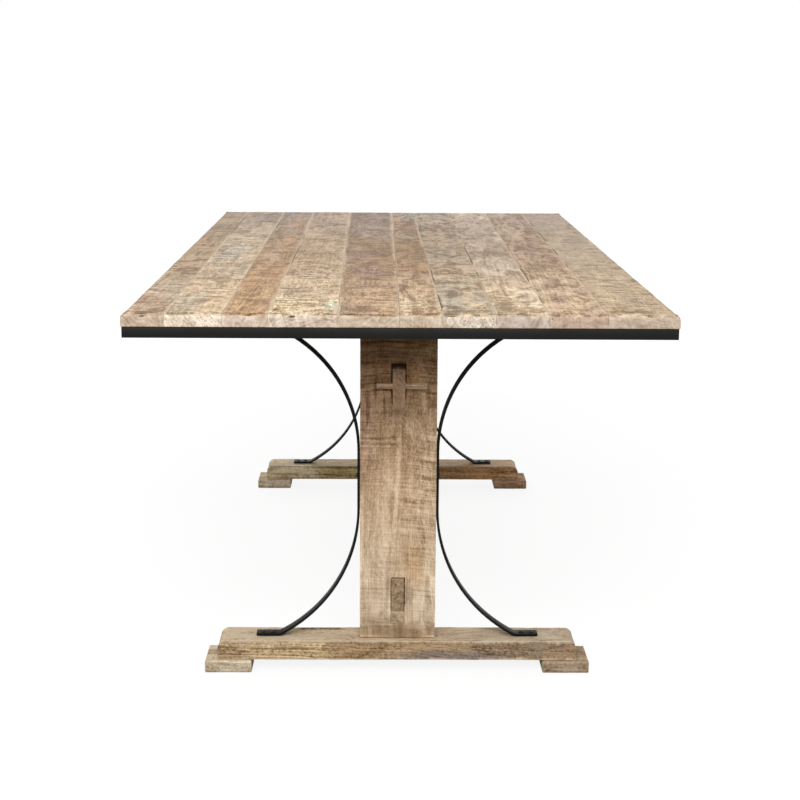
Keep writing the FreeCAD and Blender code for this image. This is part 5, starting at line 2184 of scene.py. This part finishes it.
LAMPS = (
    Lamp("front_soft_box", (-0.4, -5.1, 3.7), (0.0, -0.7, 0.5), 4.4, 3.4, 300.0),
    Lamp("overhead_soft_box", (0.0, 0.6, 3.8), (0.0, 0.0, 0.6), 4.0, 4.0, 14.0),
    Lamp("left_fill", (-4.6, 0.6, 1.7), (0.0, 0.0, 0.6), 3.5, 2.2, 50.0),
    Lamp("right_fill", (4.6, 0.6, 1.7), (0.0, 0.0, 0.6), 3.5, 2.2, 45.0),
    Lamp("back_fill", (0.0, 5.2, 2.4), (0.0, 0.0, 0.6), 4.0, 2.4, 110.0),
    Lamp("low_left_fill", (-3.2, -0.62, 0.5), (0.0, 0.72, 0.1), 1.2, 0.8, 16.0),
    Lamp("low_right_fill", (3.2, -0.62, 0.5), (0.0, 0.72, 0.1), 1.2, 0.8, 16.0),
)


@dataclass
class Studio:
    """Pale floor, soft lamps and the camera."""

    floor_size: float = 60.0
    floor_drop: float = 0.0004
    floor_tone: Colour = (0.16, 0.16, 0.16)
    floor_glow: float = 0.87
    white: Colour = (1.0, 1.0, 1.0)
    sky: float = 0.20
    camera_place: Triple = (-0.03675, -3.86471, 1.20335)
    camera_turn: Triple = (-0.720, -11.731, -0.368)
    lens: float = 73.365
    sensor: float = 36.0

    def build(self) -> None:
        """Set up the floor, the world, the lamps and the camera."""
        self._floor()
        self._world()
        for lamp in LAMPS:
            lamp.build()
        self._camera()

    def _floor(self) -> None:
        """Pale floor that shows white where nothing shades it."""
        bpy.ops.object.select_all(action="DESELECT")
        bpy.ops.mesh.primitive_plane_add(size=self.floor_size,
                                         location=(0.0, 0.0, -self.floor_drop))
        floor = bpy.context.object
        floor.name = "studio_floor"
        graph = Graph(bpy.data.materials.new("studio_floor"))
        away = graph.combined("DISTANCE", graph.read("Object"), (0.0, 0.0, 0.0))
        glow = graph.band(away, 2.0, 6.0, self.floor_glow, 1.0)
        floor.data.materials.append(graph.surface({
            "Base Color": self.floor_tone,
            "Roughness": 0.9,
            "Specular IOR Level": 0.0,
            "Emission Color": self.white,
            "Emission Strength": graph.math("MULTIPLY", graph.seen(), glow),
        }))

    def _world(self) -> None:
        """Even grey light that is seen as white."""
        world = bpy.data.worlds.new("studio")
        bpy.context.scene.world = world
        graph = Graph(world)
        strength = graph.band(graph.seen(), 0.0, 1.0, self.sky, 1.0)
        light = graph.node("ShaderNodeBackground", {"Color": self.white, "Strength": strength})
        graph.close(light, "ShaderNodeOutputWorld")

    def _camera(self) -> None:
        """Camera in front of the table, looking slightly down."""
        yaw, pitch, roll = (math.radians(value) for value in self.camera_turn)
        bpy.ops.object.camera_add()
        camera = bpy.context.object
        camera.name = "studio_camera"
        camera.data.lens = self.lens
        camera.data.sensor_width = self.sensor
        camera.matrix_world = (
            Matrix.Translation(self.camera_place)
            @ Matrix.Rotation(yaw, 4, "Z")
            @ Matrix.Rotation(pitch, 4, "X")
            @ Matrix.Rotation(roll, 4, "Y")
            @ Matrix.Rotation(math.pi / 2, 4, "X")
        )
        bpy.context.scene.camera = camera


def main() -> None:
    """Build the table's sub-assemblies in order."""
    logging.basicConfig(level=logging.INFO, format="%(name)s: %(message)s")
    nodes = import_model()["nodes"]
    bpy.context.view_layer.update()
    bpy.context.scene.view_settings.view_transform = "Standard"
    Tabletop().build(nodes)
    for end in End:
        Trestle(end, seed=4.7 * (end.value + 1)).build()
    Stretchers().build()
    Ironwork().build(nodes)
    Studio().build()


if __name__ == "__main__":
    main()
